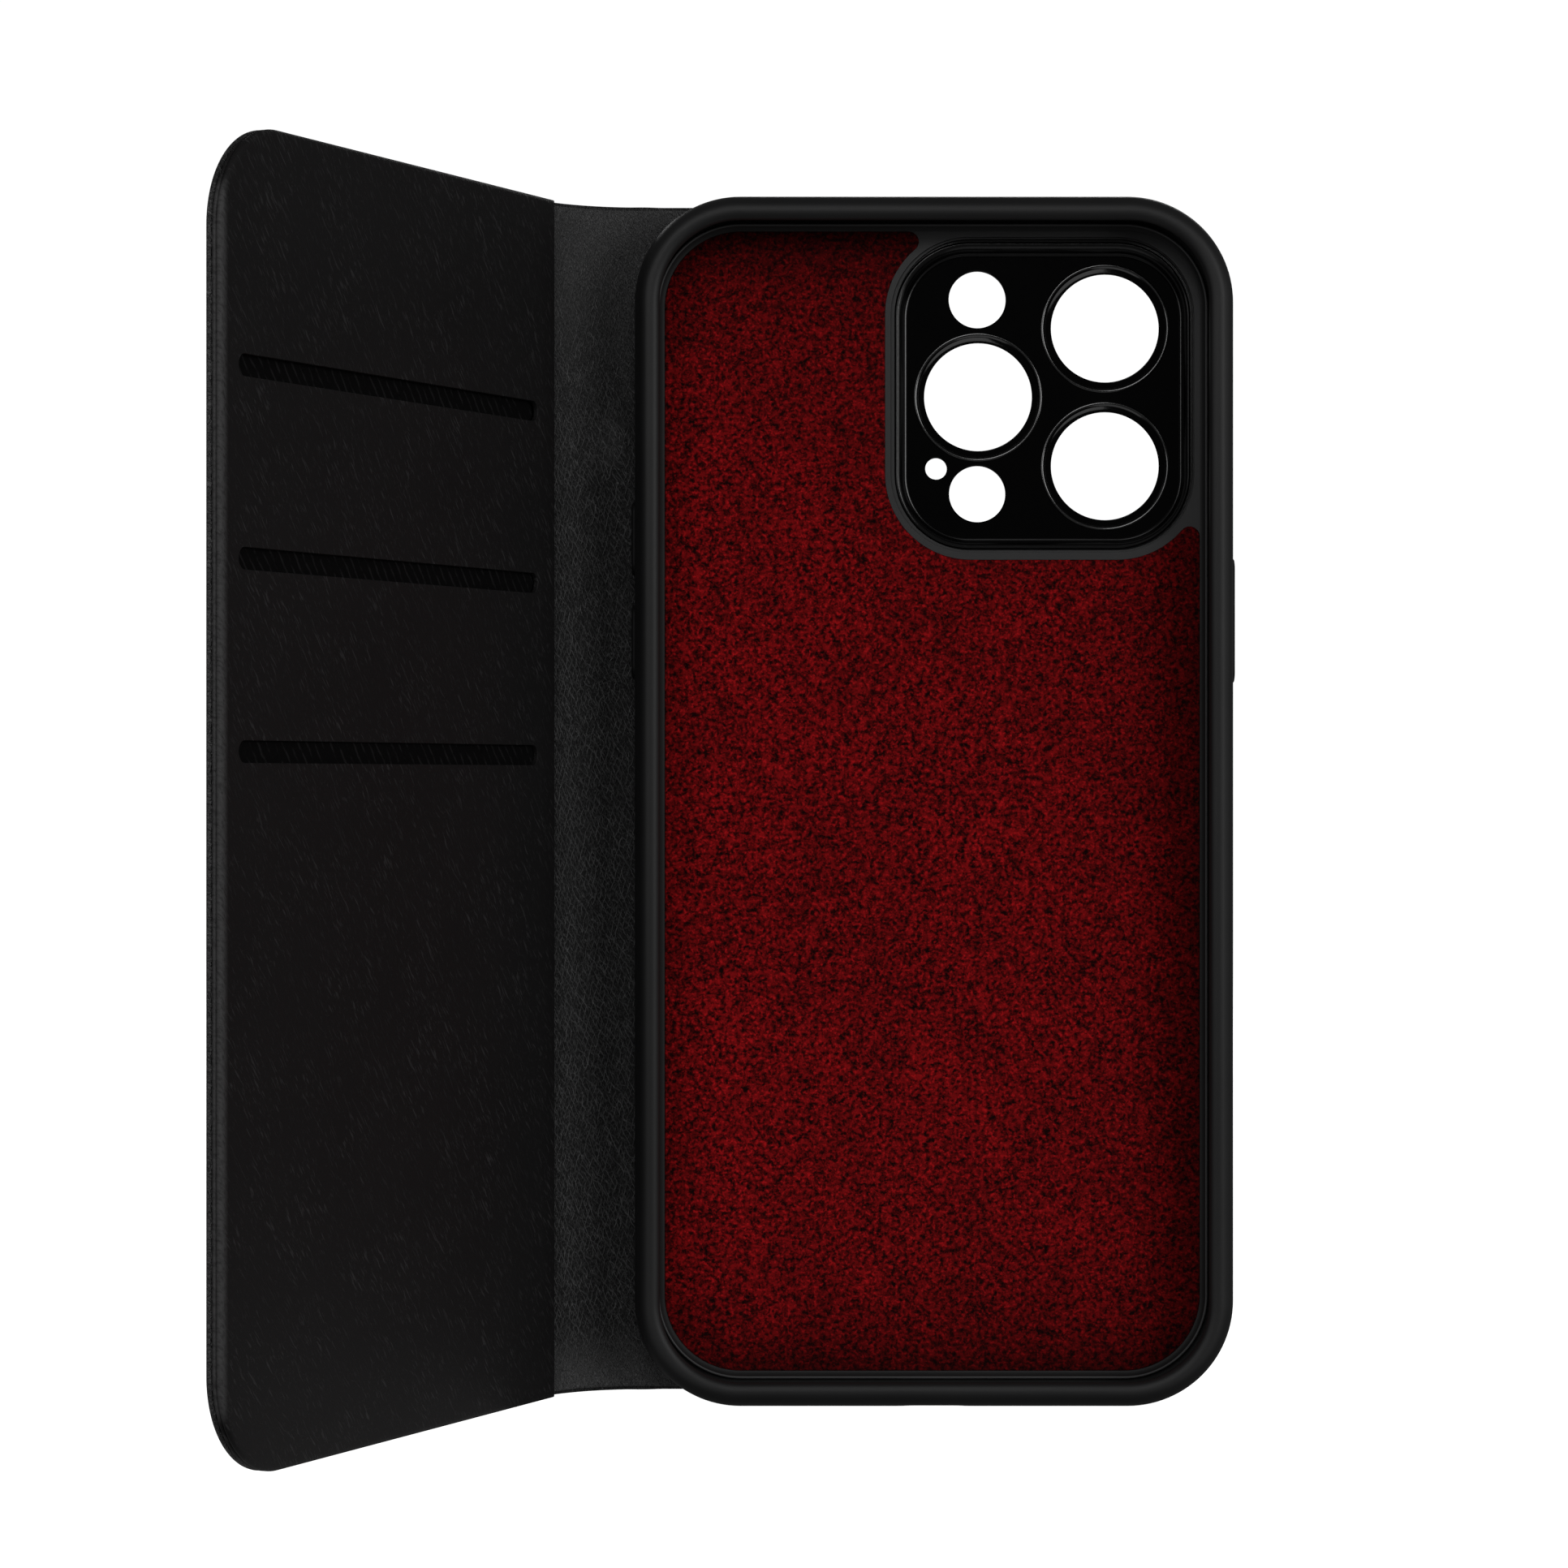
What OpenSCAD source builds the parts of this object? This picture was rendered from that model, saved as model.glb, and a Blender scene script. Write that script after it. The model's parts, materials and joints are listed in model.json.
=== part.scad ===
// Folio wallet case for a large phone: a leather cover with card pockets,
// a curved leather spine and a soft phone tray that lifts off the back cover.
// It stands upright on its short edge, opened like a book.
// X runs to the right, Y away from the open side, Z up. Millimetres.

/* [Phone bay] */
// Width of the phone that the tray holds
phone_w = 77.6; // [74:0.1:80]
// Height of the phone that the tray holds
phone_h = 160.9; // [150:0.1:166]
// Thickness of the phone
phone_t = 7.85; // [7:0.05:9]
// Corner radius of the bay
bay_r = 12.4; // [11:0.1:14]

/* [Tray] */
// Thickness of the soft side wall
wall = 2.0; // [1.8:0.1:2.4]
// How far the lip reaches over the phone
lip_over = 1.45; // [1.2:0.05:1.8]
// Height of the lip above the phone
lip_t = 1.35; // [1.2:0.05:1.8]
// Thickness of the hard back shell
shell_t = 1.3; // [1.2:0.1:1.6]
// Thickness of the suede lining
lining_t = 0.5; // [0.4:0.1:0.6]

/* [Camera] */
// Width of the camera opening in the back shell
cam_w = 41.2; // [40:0.1:42]
// Height of the camera opening in the back shell
cam_h = 43.0; // [42:0.1:44]
// Radius of each of the three lens holes
lens_r = 7.45; // [7:0.05:7.7]
// Radius of the flash hole
flash_r = 3.95; // [3:0.05:4.2]
// Radius of the sensor hole
sensor_r = 3.9; // [3:0.05:4.2]
// Radius of the microphone hole
mic_r = 1.5; // [1:0.1:1.8]

/* [Folio] */
// Height of the leather cover
folio_h = 163.7; // [160:0.1:164]
// Width of the front cover from its crease
flap_w = 82.4; // [80:0.1:84]
// Radius of the front cover's two free corners
flap_r = 13; // [8:0.5:16]
// Angle of the front cover from lying flat open
flap_angle = 64; // [40:1:80]
// Angle of the spine's chord from lying flat open
spine_angle = 29; // [20:1:40]
// Chord of the spine between its two creases
spine_chord = 12.8; // [12.6:0.1:13.4]

/* [Card pockets] */
// Length of each card slit
slit_l = 73.3; // [60:0.1:74]
// Height of each card slit
slit_h = 2.7; // [2:0.1:3.2]
// Distance from one card slit to the next
slit_pitch = 23.3; // [20:0.1:26]
// Distance from the top edge to the first slit
slit_top = 28.0; // [24:0.5:32]

/* [Hidden] */
$fn = 96;
e = 0.5;

// ---- derived sizes ----
tray_w = phone_w + 2 * wall;
tray_h = phone_h + 2 * wall;
tray_r = bay_r + wall;
tray_z0 = 0.1;                        // air between tray and cover
shell_z1 = tray_z0 + shell_t;
floor_z = shell_z1 + lining_t;        // where the phone lies
lip_z0 = floor_z + phone_t;
tray_z1 = lip_z0 + lip_t;
floor_in = wall + 1.9;                // edge of the flat bay floor, from the outline
shell_in = wall + 0.6;

// ---- frame: the origin is the bottom centre of the whole ----
case_x = 24;                          // tray centre line
back_y = 39.5;                        // inner face of the back cover
mid_z = tray_h / 2;
folio_dz = 0.36;                      // cover's middle above the tray's middle

// ---- spine arc ----
crease_x = -41.6;                     // back crease, from the tray's centre line
arc_half = 23;
arc_r = spine_chord / (2 * sin(arc_half));
arc_start = spine_angle - arc_half;
crease_gap = 1.6;                     // sheet ends stop short of a crease
bx = crease_x - spine_chord * cos(spine_angle);
bd = spine_chord * sin(spine_angle);

// ---- camera ----
cam_x = 15.4;
cam_y = 56.1;
plate_w = 39.3;
plate_h = 40.6;
lenses = [[6.4, 55.9], [23.95, 65.4], [23.95, 46.35]];
flash_p = [6.3, 69.4];
sensor_p = [6.3, 42.5];
mic_p = [0.6, 46.0];

// ---- buttons: length, height of centre above the tray's middle ----
power_b = [17.1, 24.7];
vol_up_b = [10.0, 35.9];
vol_dn_b = [10.0, 21.8];
button_z = 5.8;
button_h = 3.2;

black = [0.07, 0.07, 0.075];
dark = [0.11, 0.11, 0.115];
steel = [0.62, 0.63, 0.65];

// ---- frames ----
// tray frame: x right, y up, z out of the open side
module in_case() translate([case_x, back_y, mid_z]) rotate([90, 0, 0]) children();
// back cover frame, on the cover's own middle
module in_back() translate([case_x, back_y, mid_z + folio_dz]) rotate([90, 0, 0]) children();
// front cover frame: x is minus the distance from the crease
module on_flap() translate([case_x + bx, back_y - bd, mid_z + folio_dz])
    rotate([0, 0, flap_angle]) rotate([90, 0, 0]) children();

// ---- outlines ----
module rr(w, h, r) {
    square([w - 2 * r, h], center = true);
    square([w, h - 2 * r], center = true);
    for (sx = [-1, 1], sy = [-1, 1]) translate([sx * (w / 2 - r), sy * (h / 2 - r)]) circle(r = r);
}
module slab(z0, z1) translate([0, 0, z0]) linear_extrude(height = z1 - z0) children();
module stadium(l, h) {
    square([l - h, h], center = true);
    for (s = [-1, 1]) translate([s * (l - h) / 2, 0]) circle(r = h / 2);
}
// rectangle from x0 to x1 with both corners at one end rounded; side -1 is the low x end
module d_shape(x0, x1, h, r, side) {
    a = side < 0 ? x0 + r : x0;
    b = side < 0 ? x1 : x1 - r;
    translate([a, -h / 2]) square([b - a, h]);
    translate([x0, -h / 2 + r]) square([x1 - x0, h - 2 * r]);
    for (s = [-1, 1]) translate([side < 0 ? a : b, s * (h / 2 - r)]) circle(r = r);
}
module cam_outline(grow) translate([cam_x, cam_y]) rr(cam_w + 2 * grow, cam_h + 2 * grow, 10.5 + grow);

// a profile of [distance in from the outline, height] carried round a rounded rectangle
module sweep_rr(w, h, r, profile) {
    for (s = [0, 1]) rotate([0, 0, 180 * s]) {
        translate([w / 2, h / 2 - r, 0]) rotate([90, 0, 0]) linear_extrude(height = h - 2 * r)
            polygon([for (p = profile) [-p[0], p[1]]]);
        translate([-w / 2 + r, h / 2, 0]) rotate([90, 0, 90]) linear_extrude(height = w - 2 * r)
            polygon([for (p = profile) [-p[0], p[1]]]);
        for (m = [0, 1]) translate([(1 - 2 * m) * (w / 2 - r), h / 2 - r, 0]) rotate([0, 0, 90 * m])
            rotate_extrude(angle = 90) polygon([for (p = profile) [r - p[0], p[1]]]);
    }
}

// ---- back cover ----
back_x0 = crease_x + 3.1;
back_x1 = 40.6;
module back_outline(inset) d_shape(back_x0 + inset, back_x1 - inset, folio_h - 2 * inset, 14.2 - inset, 1);
module cam_window(grow) translate([0, -folio_dz]) cam_outline(0.7 + grow);

module back_leather() color(black) in_back() difference() {
    slab(-1.9, -0.35) back_outline(0);
    slab(-1.2, 0) difference() { back_outline(1.6); cam_window(1.6); }
    slab(-3, 1) cam_window(0);
}
module back_board() color("dimgray") in_back() difference() {
    slab(-1.2, -0.35) back_outline(1.6);
    slab(-3, 1) cam_window(1.6);
    slab(-0.85, 0) dock_outline();
}
module dock_outline() difference() { circle(r = 28.5); circle(r = 22.5); }
module docking_plate() color(steel) in_back() slab(-0.85, -0.35) dock_outline();
module back_lining() color(dark) in_back() difference() {
    slab(-0.35, 0) back_outline(0.7);
    slab(-3, 1) cam_window(0.5);
}

// ---- spine: two leather layers on one arc ----
module arc_sheet(r0, r1) {
    gap = crease_gap / arc_r * 180 / PI;
    translate([case_x + crease_x + arc_r * sin(arc_start), back_y - arc_r * cos(arc_start), mid_z + folio_dz - folio_h / 2])
        rotate([0, 0, 90 + arc_start + gap])
            rotate_extrude(angle = 2 * arc_half - 2 * gap)
                translate([r0, 0]) square([r1 - r0, folio_h]);
}
module spine_leather() color(black) arc_sheet(arc_r + 0.45, arc_r + 0.9);
module spine_lining() color(dark) arc_sheet(arc_r, arc_r + 0.45);

// ---- front cover ----
panel_t = 1.4;
cavity_t = 0.75;
module flap_outline(inset, start = 0.15) d_shape(-flap_w + inset, -start, folio_h - 2 * inset, flap_r - inset, -1);
slit_mid = -(5.2 + 78.5) / 2;
function slit_y(i) = folio_h / 2 - slit_top - slit_h / 2 - i * slit_pitch;

module front_leather() color(black) on_flap() difference() {
    union() {
        slab(-0.9, -0.2) flap_outline(0, crease_gap);
        slab(-0.2, 0) flap_outline(0.9, crease_gap + 0.9);
    }
    slab(-0.3, e) flap_outline(3.2, crease_gap + 3.2);
}
module front_board() color("dimgray") on_flap() slab(-0.3, 0.25) flap_outline(3.2, crease_gap + 3.2);
module pocket_panel() color(black) on_flap() difference() {
    slab(0, panel_t) flap_outline(0);
    slab(-e, cavity_t) flap_outline(1.6, 1.8);
    for (i = [0:2]) translate([slit_mid, slit_y(i)]) slab(-e, panel_t + e) stadium(slit_l, slit_h);
}
// a T-shaped fabric pocket: a wide head behind its slit and a narrower body that holds a card
module card_pocket(i) {
    head = 8;
    depth = min(86, slit_y(i) + folio_h / 2 - 3.5);
    on_flap() slab(0.28 + 0.15 * i, 0.38 + 0.15 * i) translate([slit_mid, slit_y(i)]) {
        translate([-slit_l / 2 - 1, -head / 2]) square([slit_l + 2, head]);
        translate([-30, -depth]) square([60, depth]);
    }
}
module card_pocket_top() color("darkslategray") card_pocket(0);
module card_pocket_middle() color("darkslategray") card_pocket(1);
module card_pocket_bottom() color("darkslategray") card_pocket(2);
module closure_magnets() color(steel) on_flap()
    for (i = [0:2]) translate([-79.2, -10 - 15 * i]) slab(0.25, 0.72) square([2.6, 11], center = true);

// ---- phone tray ----
lip_in = wall + lip_over;
bumper_profile = [
    [shell_in, tray_z0], [2.2, tray_z0], [1.35, 0.35], [0.65, 1.0], [0.2, 1.95], [0, 3.2],
    [0, tray_z1 - 2.7], [0.15, tray_z1 - 1.7], [0.55, tray_z1 - 0.9], [1.2, tray_z1 - 0.3],
    [1.95, tray_z1], [lip_in - 0.85, tray_z1], [lip_in - 0.35, tray_z1 - 0.15], [lip_in, tray_z1 - 0.55],
    [lip_in, lip_z0 + 0.3], [lip_in - 0.25, lip_z0], [wall, lip_z0],
    [wall, floor_z + 2.3], [wall + 0.1, floor_z + 1.6], [wall + 0.45, floor_z + 0.85],
    [wall + 1.0, floor_z + 0.25], [wall + 1.6, floor_z], [floor_in, floor_z],
    [floor_in, shell_z1], [shell_in, shell_z1]
];
// a slot that runs through a side wall, long way up
module side_slot(l, h, y, x0, x1, z = button_z)
    translate([x0, y, z]) rotate([0, 90, 0]) linear_extrude(height = x1 - x0) rotate(90) stadium(l, h);
// a button's cap slot and flange pocket, on the right-hand side
module button_cut(b) {
    side_slot(b[0] + 0.2, button_h + 0.2, b[1], tray_w / 2 - wall - e, tray_w / 2 + 1);
    side_slot(b[0] + 1.8, button_h + 1.8, b[1], tray_w / 2 - wall - e, tray_w / 2 - 1.05);
}
module button(b, proud) {
    side_slot(b[0], button_h, b[1], tray_w / 2 - 1.3, tray_w / 2 + proud);
    side_slot(b[0] + 1.6, button_h + 1.6, b[1], tray_w / 2 - 1.7, tray_w / 2 - 1.1);
}
module keeper() translate([tray_w / 2 - lip_in + 0.5, -46, lip_z0]) cube([1.6, 42, 0.45]);

module bumper_frame() color(dark) in_case() difference() {
    sweep_rr(tray_w, tray_h, tray_r, bumper_profile);
    button_cut(power_b);
    mirror([1, 0, 0]) button_cut(vol_up_b);
    mirror([1, 0, 0]) button_cut(vol_dn_b);
    // ring and silence switch
    side_slot(8, 5.2, 50.5, -tray_w / 2 - 1, -tray_w / 2 + wall + e);
    // charging port and speaker slots in the bottom wall
    translate([0, -tray_h / 2 + wall + e, 5.9]) rotate([90, 0, 0]) linear_extrude(height = wall + 2) stadium(12, 6.8);
    for (s = [-1, 1]) translate([s * 18.5, -tray_h / 2 + wall + e, 5.9]) rotate([90, 0, 0])
        linear_extrude(height = wall + 2) stadium(13, 2.4);
    keeper();
}
module back_shell() color([0.16, 0.16, 0.165]) in_case() difference() {
    slab(tray_z0, shell_z1) rr(tray_w - 2 * shell_in, tray_h - 2 * shell_in, tray_r - shell_in);
    slab(-e, 3) cam_outline(0);
    slab(shell_z1 - 0.6, 3) magnet_outline();
    slab(shell_z1 - 0.6, 3) bar_outline();
}
// the band round the camera opening, square towards the tray's top right corner
module band_outline() {
    cam_outline(1.3);
    translate([cam_x, cam_y]) square(40);
}
module floor_outline() rr(tray_w - 2 * floor_in, tray_h - 2 * floor_in, tray_r - floor_in);
module microfibre_lining() color([0.42, 0.02, 0.03]) in_case() difference() {
    slab(shell_z1, floor_z) floor_outline();
    slab(0, 3) band_outline();
}
module camera_bezel() color(dark) in_case() {
    difference() {
        union() {
            slab(-1.8, shell_z1) cam_outline(0);
            slab(shell_z1, floor_z) intersection() { band_outline(); floor_outline(); }
        }
        slab(-0.2, 4) translate([cam_x, cam_y - 0.3]) rr(plate_w - 1.8, plate_h - 1.8, 8.5);
        slab(-3, -0.2) translate([cam_x, cam_y - 0.3]) rr(plate_w, plate_h, 9.4);
    }
}
module camera_plate() color([0.02, 0.02, 0.02]) in_case() difference() {
    union() {
        slab(-1.3, -0.2) translate([cam_x, cam_y - 0.3]) rr(plate_w, plate_h, 9.4);
        for (p = lenses) translate([p[0], p[1], -0.3]) cylinder(r = lens_r + 1.5, h = 0.35);
    }
    for (p = lenses) translate([p[0], p[1], -0.3]) cylinder(r = lens_r + 0.75, h = 1);
    for (p = lenses) translate([p[0], p[1], -2]) cylinder(r = lens_r, h = 4);
    translate([flash_p[0], flash_p[1], -2]) cylinder(r = flash_r, h = 4);
    translate([sensor_p[0], sensor_p[1], -2]) cylinder(r = sensor_r, h = 4);
    translate([mic_p[0], mic_p[1], -2]) cylinder(r = mic_r, h = 4);
}
module magnet_outline() difference() { circle(r = 27.2); circle(r = 23); }
module bar_outline() translate([0, -38]) square([4.2, 20], center = true);
// sixteen arc magnets with a small gap between neighbours
module magnet_ring() color(steel) in_case() for (i = [0:15]) rotate([0, 0, i * 22.5])
    translate([0, 0, shell_z1 - 0.6]) rotate_extrude(angle = 21.3) translate([23.05, 0]) square([4.1, 0.55]);
module magnet_bar() color(steel) in_case() slab(shell_z1 - 0.6, shell_z1 - 0.05) translate([0, -38]) square([4.1, 19.9], center = true);
module closure_keeper() color(steel) in_case() keeper();

module power_button() color(black) in_case() button(power_b, 0.4);
module volume_up_button() color(black) in_case() mirror([1, 0, 0]) button(vol_up_b, 0.5);
module volume_down_button() color(black) in_case() mirror([1, 0, 0]) button(vol_dn_b, 0.5);

back_leather();
back_board();
docking_plate();
back_lining();
spine_leather();
spine_lining();
front_leather();
front_board();
pocket_panel();
card_pocket_top();
card_pocket_middle();
card_pocket_bottom();
closure_magnets();
bumper_frame();
back_shell();
microfibre_lining();
camera_bezel();
camera_plate();
magnet_ring();
magnet_bar();
closure_keeper();
power_button();
volume_up_button();
volume_down_button();
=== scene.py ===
import bpy, bmesh, json, math
import numpy as np
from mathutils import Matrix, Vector


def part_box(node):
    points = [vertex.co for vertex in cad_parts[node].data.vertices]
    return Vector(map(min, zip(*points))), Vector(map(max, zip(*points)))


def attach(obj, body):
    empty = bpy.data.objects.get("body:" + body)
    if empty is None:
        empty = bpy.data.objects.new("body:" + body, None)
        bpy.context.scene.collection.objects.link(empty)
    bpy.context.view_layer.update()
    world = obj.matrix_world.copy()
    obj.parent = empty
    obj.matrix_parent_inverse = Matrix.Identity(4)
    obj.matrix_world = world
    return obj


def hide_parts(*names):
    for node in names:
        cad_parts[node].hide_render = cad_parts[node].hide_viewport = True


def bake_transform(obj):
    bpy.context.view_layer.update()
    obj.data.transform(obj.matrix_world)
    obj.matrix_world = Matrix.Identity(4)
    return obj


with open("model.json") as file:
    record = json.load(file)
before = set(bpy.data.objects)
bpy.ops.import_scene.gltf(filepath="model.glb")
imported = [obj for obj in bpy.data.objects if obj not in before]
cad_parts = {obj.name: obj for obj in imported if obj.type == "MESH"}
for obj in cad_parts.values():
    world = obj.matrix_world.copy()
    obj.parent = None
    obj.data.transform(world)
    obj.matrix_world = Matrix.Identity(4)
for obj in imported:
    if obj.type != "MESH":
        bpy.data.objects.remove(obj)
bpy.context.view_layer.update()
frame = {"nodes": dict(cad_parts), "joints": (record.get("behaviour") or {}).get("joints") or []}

# ---------------------------------------------------------------- frame
MM = 0.001
t_lo, t_hi = [np.array(v) * 1000 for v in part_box("bumper_frame")]
TX, TZ = (t_lo[0] + t_hi[0]) / 2, (t_lo[2] + t_hi[2]) / 2      # tray centre
TW, TH = t_hi[0] - t_lo[0], t_hi[2] - t_lo[2]                  # tray outline
BY = t_hi[1] + 0.1                                             # inner face of the back cover
TR = 14.4                                                      # tray corner radius
l_lo, l_hi = [np.array(v) * 1000 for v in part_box("back_leather")]
FZ, FH = (l_lo[2] + l_hi[2]) / 2, l_hi[2] - l_lo[2]            # cover middle and height
BACK_X1 = l_hi[0]
joint = {j["name"]: np.array(j["pos_m"]) * 1000 for j in frame["joints"] if "pos_m" in j}
AX = joint["spine_hinge"][:2]
BX = joint["cover_hinge"][:2]
FLAP_W, FLAP_R, BACK_R = 82.4, 13.0, 14.2
ARC_L = math.hypot(*(AX - BX)) / (2 * math.sin(math.radians(23))) * math.radians(46)
S_FLAP = ARC_L + FLAP_W              # the front cover's free edge


def case(x, z, d):
    """Tray frame (right, up, towards the viewer), in mm, to the row frame in metres."""
    x, z, d = np.broadcast_arrays(np.asarray(x, float), np.asarray(z, float), np.asarray(d, float))
    return np.stack([TX + x, BY - d, TZ + z], -1) * MM


# The line that all the leather follows: the inner face, from the back cover over the spine to the front cover.
_ds = 0.02
_s = np.arange(-86, 100, _ds)
_turn = np.where(_s < 0, 0.0, np.where(_s < ARC_L, 6 + 46 * _s / ARC_L, 64.0))
_k = int(2.0 / _ds)
_turn = np.convolve(np.pad(_turn, _k // 2, mode="edge"), np.ones(_k) / _k, mode="valid")[:len(_s)]
_th = np.radians(_turn)
_x = np.cumsum(-np.cos(_th)) * _ds
_y = np.cumsum(-np.sin(_th)) * _ds
_x += AX[0] + 0.0 - np.interp(0, _s, _x)
_y += AX[1] - _y[0]
# the front cover's line runs exactly through its hinge
_end = np.array([_x[-1], _y[-1]])
_u = np.array([-math.cos(_th[-1]), -math.sin(_th[-1])])
_want = BX + _u * (_s[-1] - ARC_L)
_fix = _want - _end
_w = np.clip(_s / ARC_L, 0, 1)
_x += _fix[0] * _w
_y += _fix[1] * _w


def sheet_point(s, h, z):
    """A point of the leather in the row frame: s along it, h in from the inner face (towards the phone), z up from the cover's middle. mm in, metres out."""
    s, h, z = np.broadcast_arrays(np.asarray(s, float), np.asarray(h, float), np.asarray(z, float))
    th = np.interp(s, _s, _th)
    x = np.interp(s, _s, _x) + h * np.sin(th)
    y = np.interp(s, _s, _y) - h * np.cos(th)
    return np.stack([x, y, FZ + z], -1) * MM


def flatten(co):
    """The reverse, for texture: (s, z, h) in mm for points in metres."""
    p = co * 1000
    step = slice(None, None, 10)
    cx, cy, cs = _x[step], _y[step], _s[step]
    out = np.empty((len(p), 3))
    for i in range(0, len(p), 20000):
        q = p[i:i + 20000]
        j = ((q[:, None, 0] - cx) ** 2 + (q[:, None, 1] - cy) ** 2).argmin(1)
        th = np.interp(cs[j], _s, _th)
        dx, dy = q[:, 0] - cx[j], q[:, 1] - cy[j]
        out[i:i + 20000, 0] = cs[j] - dx * np.cos(th) - dy * np.sin(th)
        out[i:i + 20000, 1] = q[:, 2]
        out[i:i + 20000, 2] = dx * np.sin(th) - dy * np.cos(th)
    return out


# ---------------------------------------------------------------- mesh tools
def build(name, verts, faces):
    me = bpy.data.meshes.new(name)
    me.from_pydata([tuple(v) for v in np.asarray(verts, float)], [], [list(map(int, f)) for f in faces])
    bm = bmesh.new()
    bm.from_mesh(me)
    bmesh.ops.remove_doubles(bm, verts=bm.verts, dist=2e-7)
    bmesh.ops.dissolve_degenerate(bm, dist=1e-7, edges=bm.edges)
    bmesh.ops.recalc_face_normals(bm, faces=bm.faces)
    bm.to_mesh(me)
    bm.free()
    ob = bpy.data.objects.new(name, me)
    bpy.context.scene.collection.objects.link(ob)
    return ob


def smooth(ob, angle=38, weighted=False):
    ob.data.shade_smooth()
    ob.data.set_sharp_from_angle(angle=math.radians(angle))
    if weighted:
        m = ob.modifiers.new("even_normals", "WEIGHTED_NORMAL")
        m.mode = "FACE_AREA"
        m.weight = 50
        m.keep_sharp = True
    return ob


def grain(ob, kind="sheet"):
    """Stores texture coordinates in mm on the points, so that they stay put when leather bends."""
    co = np.empty(len(ob.data.vertices) * 3)
    ob.data.vertices.foreach_get("co", co)
    co = co.reshape(-1, 3)
    flat = flatten(co) if kind == "sheet" else np.stack([co[:, 0] * 1000 - TX, co[:, 2] * 1000 - TZ, BY - co[:, 1] * 1000], -1)
    at = ob.data.attributes.get("grain_pos") or ob.data.attributes.new("grain_pos", "FLOAT_VECTOR", "POINT")
    at.data.foreach_set("vector", flat.astype(np.float32).ravel())
    return ob


def rr(w, h, r, cx=0.0, cz=0.0, nc=24, ns=1):
    """Rounded rectangle, anticlockwise from the right-hand side's top. ns splits each straight side."""
    arcs = []
    for k, (sx, sz) in enumerate([(1, 1), (-1, 1), (-1, -1), (1, -1)]):
        a = np.radians(90 * k + 90 * np.arange(nc + 1) / nc)
        arcs.append(np.stack([cx + sx * (w / 2 - r) + r * np.cos(a), cz + sz * (h / 2 - r) + r * np.sin(a)], -1))
    pts = []
    for k in range(4):
        pts.append(arcs[k])
        a, b = arcs[k][-1], arcs[(k + 1) % 4][0]
        for j in range(1, ns):
            pts.append((a + (b - a) * j / ns)[None])
    return np.concatenate(pts)


def stadium(l, h, cx=0.0, cz=0.0, n=14):
    pts = []
    for j in range(n + 1):
        a = math.radians(-90 + 180 * j / n)
        pts.append((cx + (l - h) / 2 + h / 2 * math.cos(a), cz + h / 2 * math.sin(a)))
    for j in range(n + 1):
        a = math.radians(90 + 180 * j / n)
        pts.append((cx - (l - h) / 2 + h / 2 * math.cos(a), cz + h / 2 * math.sin(a)))
    return np.array(pts)


def loft(name, rings, closed=False, caps=True):
    """rings are (N, 3) arrays in metres. closed joins the last ring to the first."""
    n, m = len(rings[0]), len(rings)
    verts = np.concatenate(rings)
    faces = []
    for k in range(m if closed else m - 1):
        a, b = k * n, ((k + 1) % m) * n
        for i in range(n):
            j = (i + 1) % n
            faces.append((a + i, a + j, b + j, b + i))
    if caps and not closed:
        faces.append(tuple(range(n))[::-1])
        faces.append(tuple(range((m - 1) * n, m * n)))
    return build(name, verts, faces)


def lathe(name, profile, at, n=96):
    """profile of (radius, d) about the tray frame's d axis through at=(x, z); the profile is a closed loop."""
    rings = []
    for k in range(n):
        a = 2 * math.pi * k / n
        rings.append(np.array([case(at[0] + r * math.cos(a), at[1] + r * math.sin(a), d) for r, d in profile]))
    return loft(name, rings, closed=True)


def arc(c, r, a0, a1, n, ry=None):
    """Points of an arc in profile space, angles in degrees."""
    ry = r if ry is None else ry
    return [(c[0] + r * math.cos(math.radians(a0 + (a1 - a0) * k / n)), c[1] + ry * math.sin(math.radians(a0 + (a1 - a0) * k / n))) for k in range(n + 1)]


def boolean(ob, tools, how="DIFFERENCE"):
    mods = []
    for t in tools:
        m = ob.modifiers.new("cut", "BOOLEAN")
        m.operation = how
        m.solver = "EXACT"
        m.object = t
        mods.append(m)
    bpy.context.view_layer.update()
    made = bpy.data.meshes.new_from_object(ob.evaluated_get(bpy.context.evaluated_depsgraph_get()))
    ob.modifiers.clear()
    old = ob.data
    ob.data = made
    bpy.data.meshes.remove(old)
    for t in tools:
        me = t.data
        bpy.data.objects.remove(t)
        bpy.data.meshes.remove(me)
    bm = bmesh.new()
    bm.from_mesh(ob.data)
    bmesh.ops.dissolve_degenerate(bm, dist=1e-6, edges=bm.edges)
    bm.to_mesh(ob.data)
    bm.free()
    return ob


def join(obs):
    """Joins the meshes of several objects into the first one."""
    bm = bmesh.new()
    for o in obs:
        bm.from_mesh(o.data)
    bm.to_mesh(obs[0].data)
    bm.free()
    for o in obs[1:]:
        me = o.data
        bpy.data.objects.remove(o)
        bpy.data.meshes.remove(me)
    return obs[0]


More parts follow.
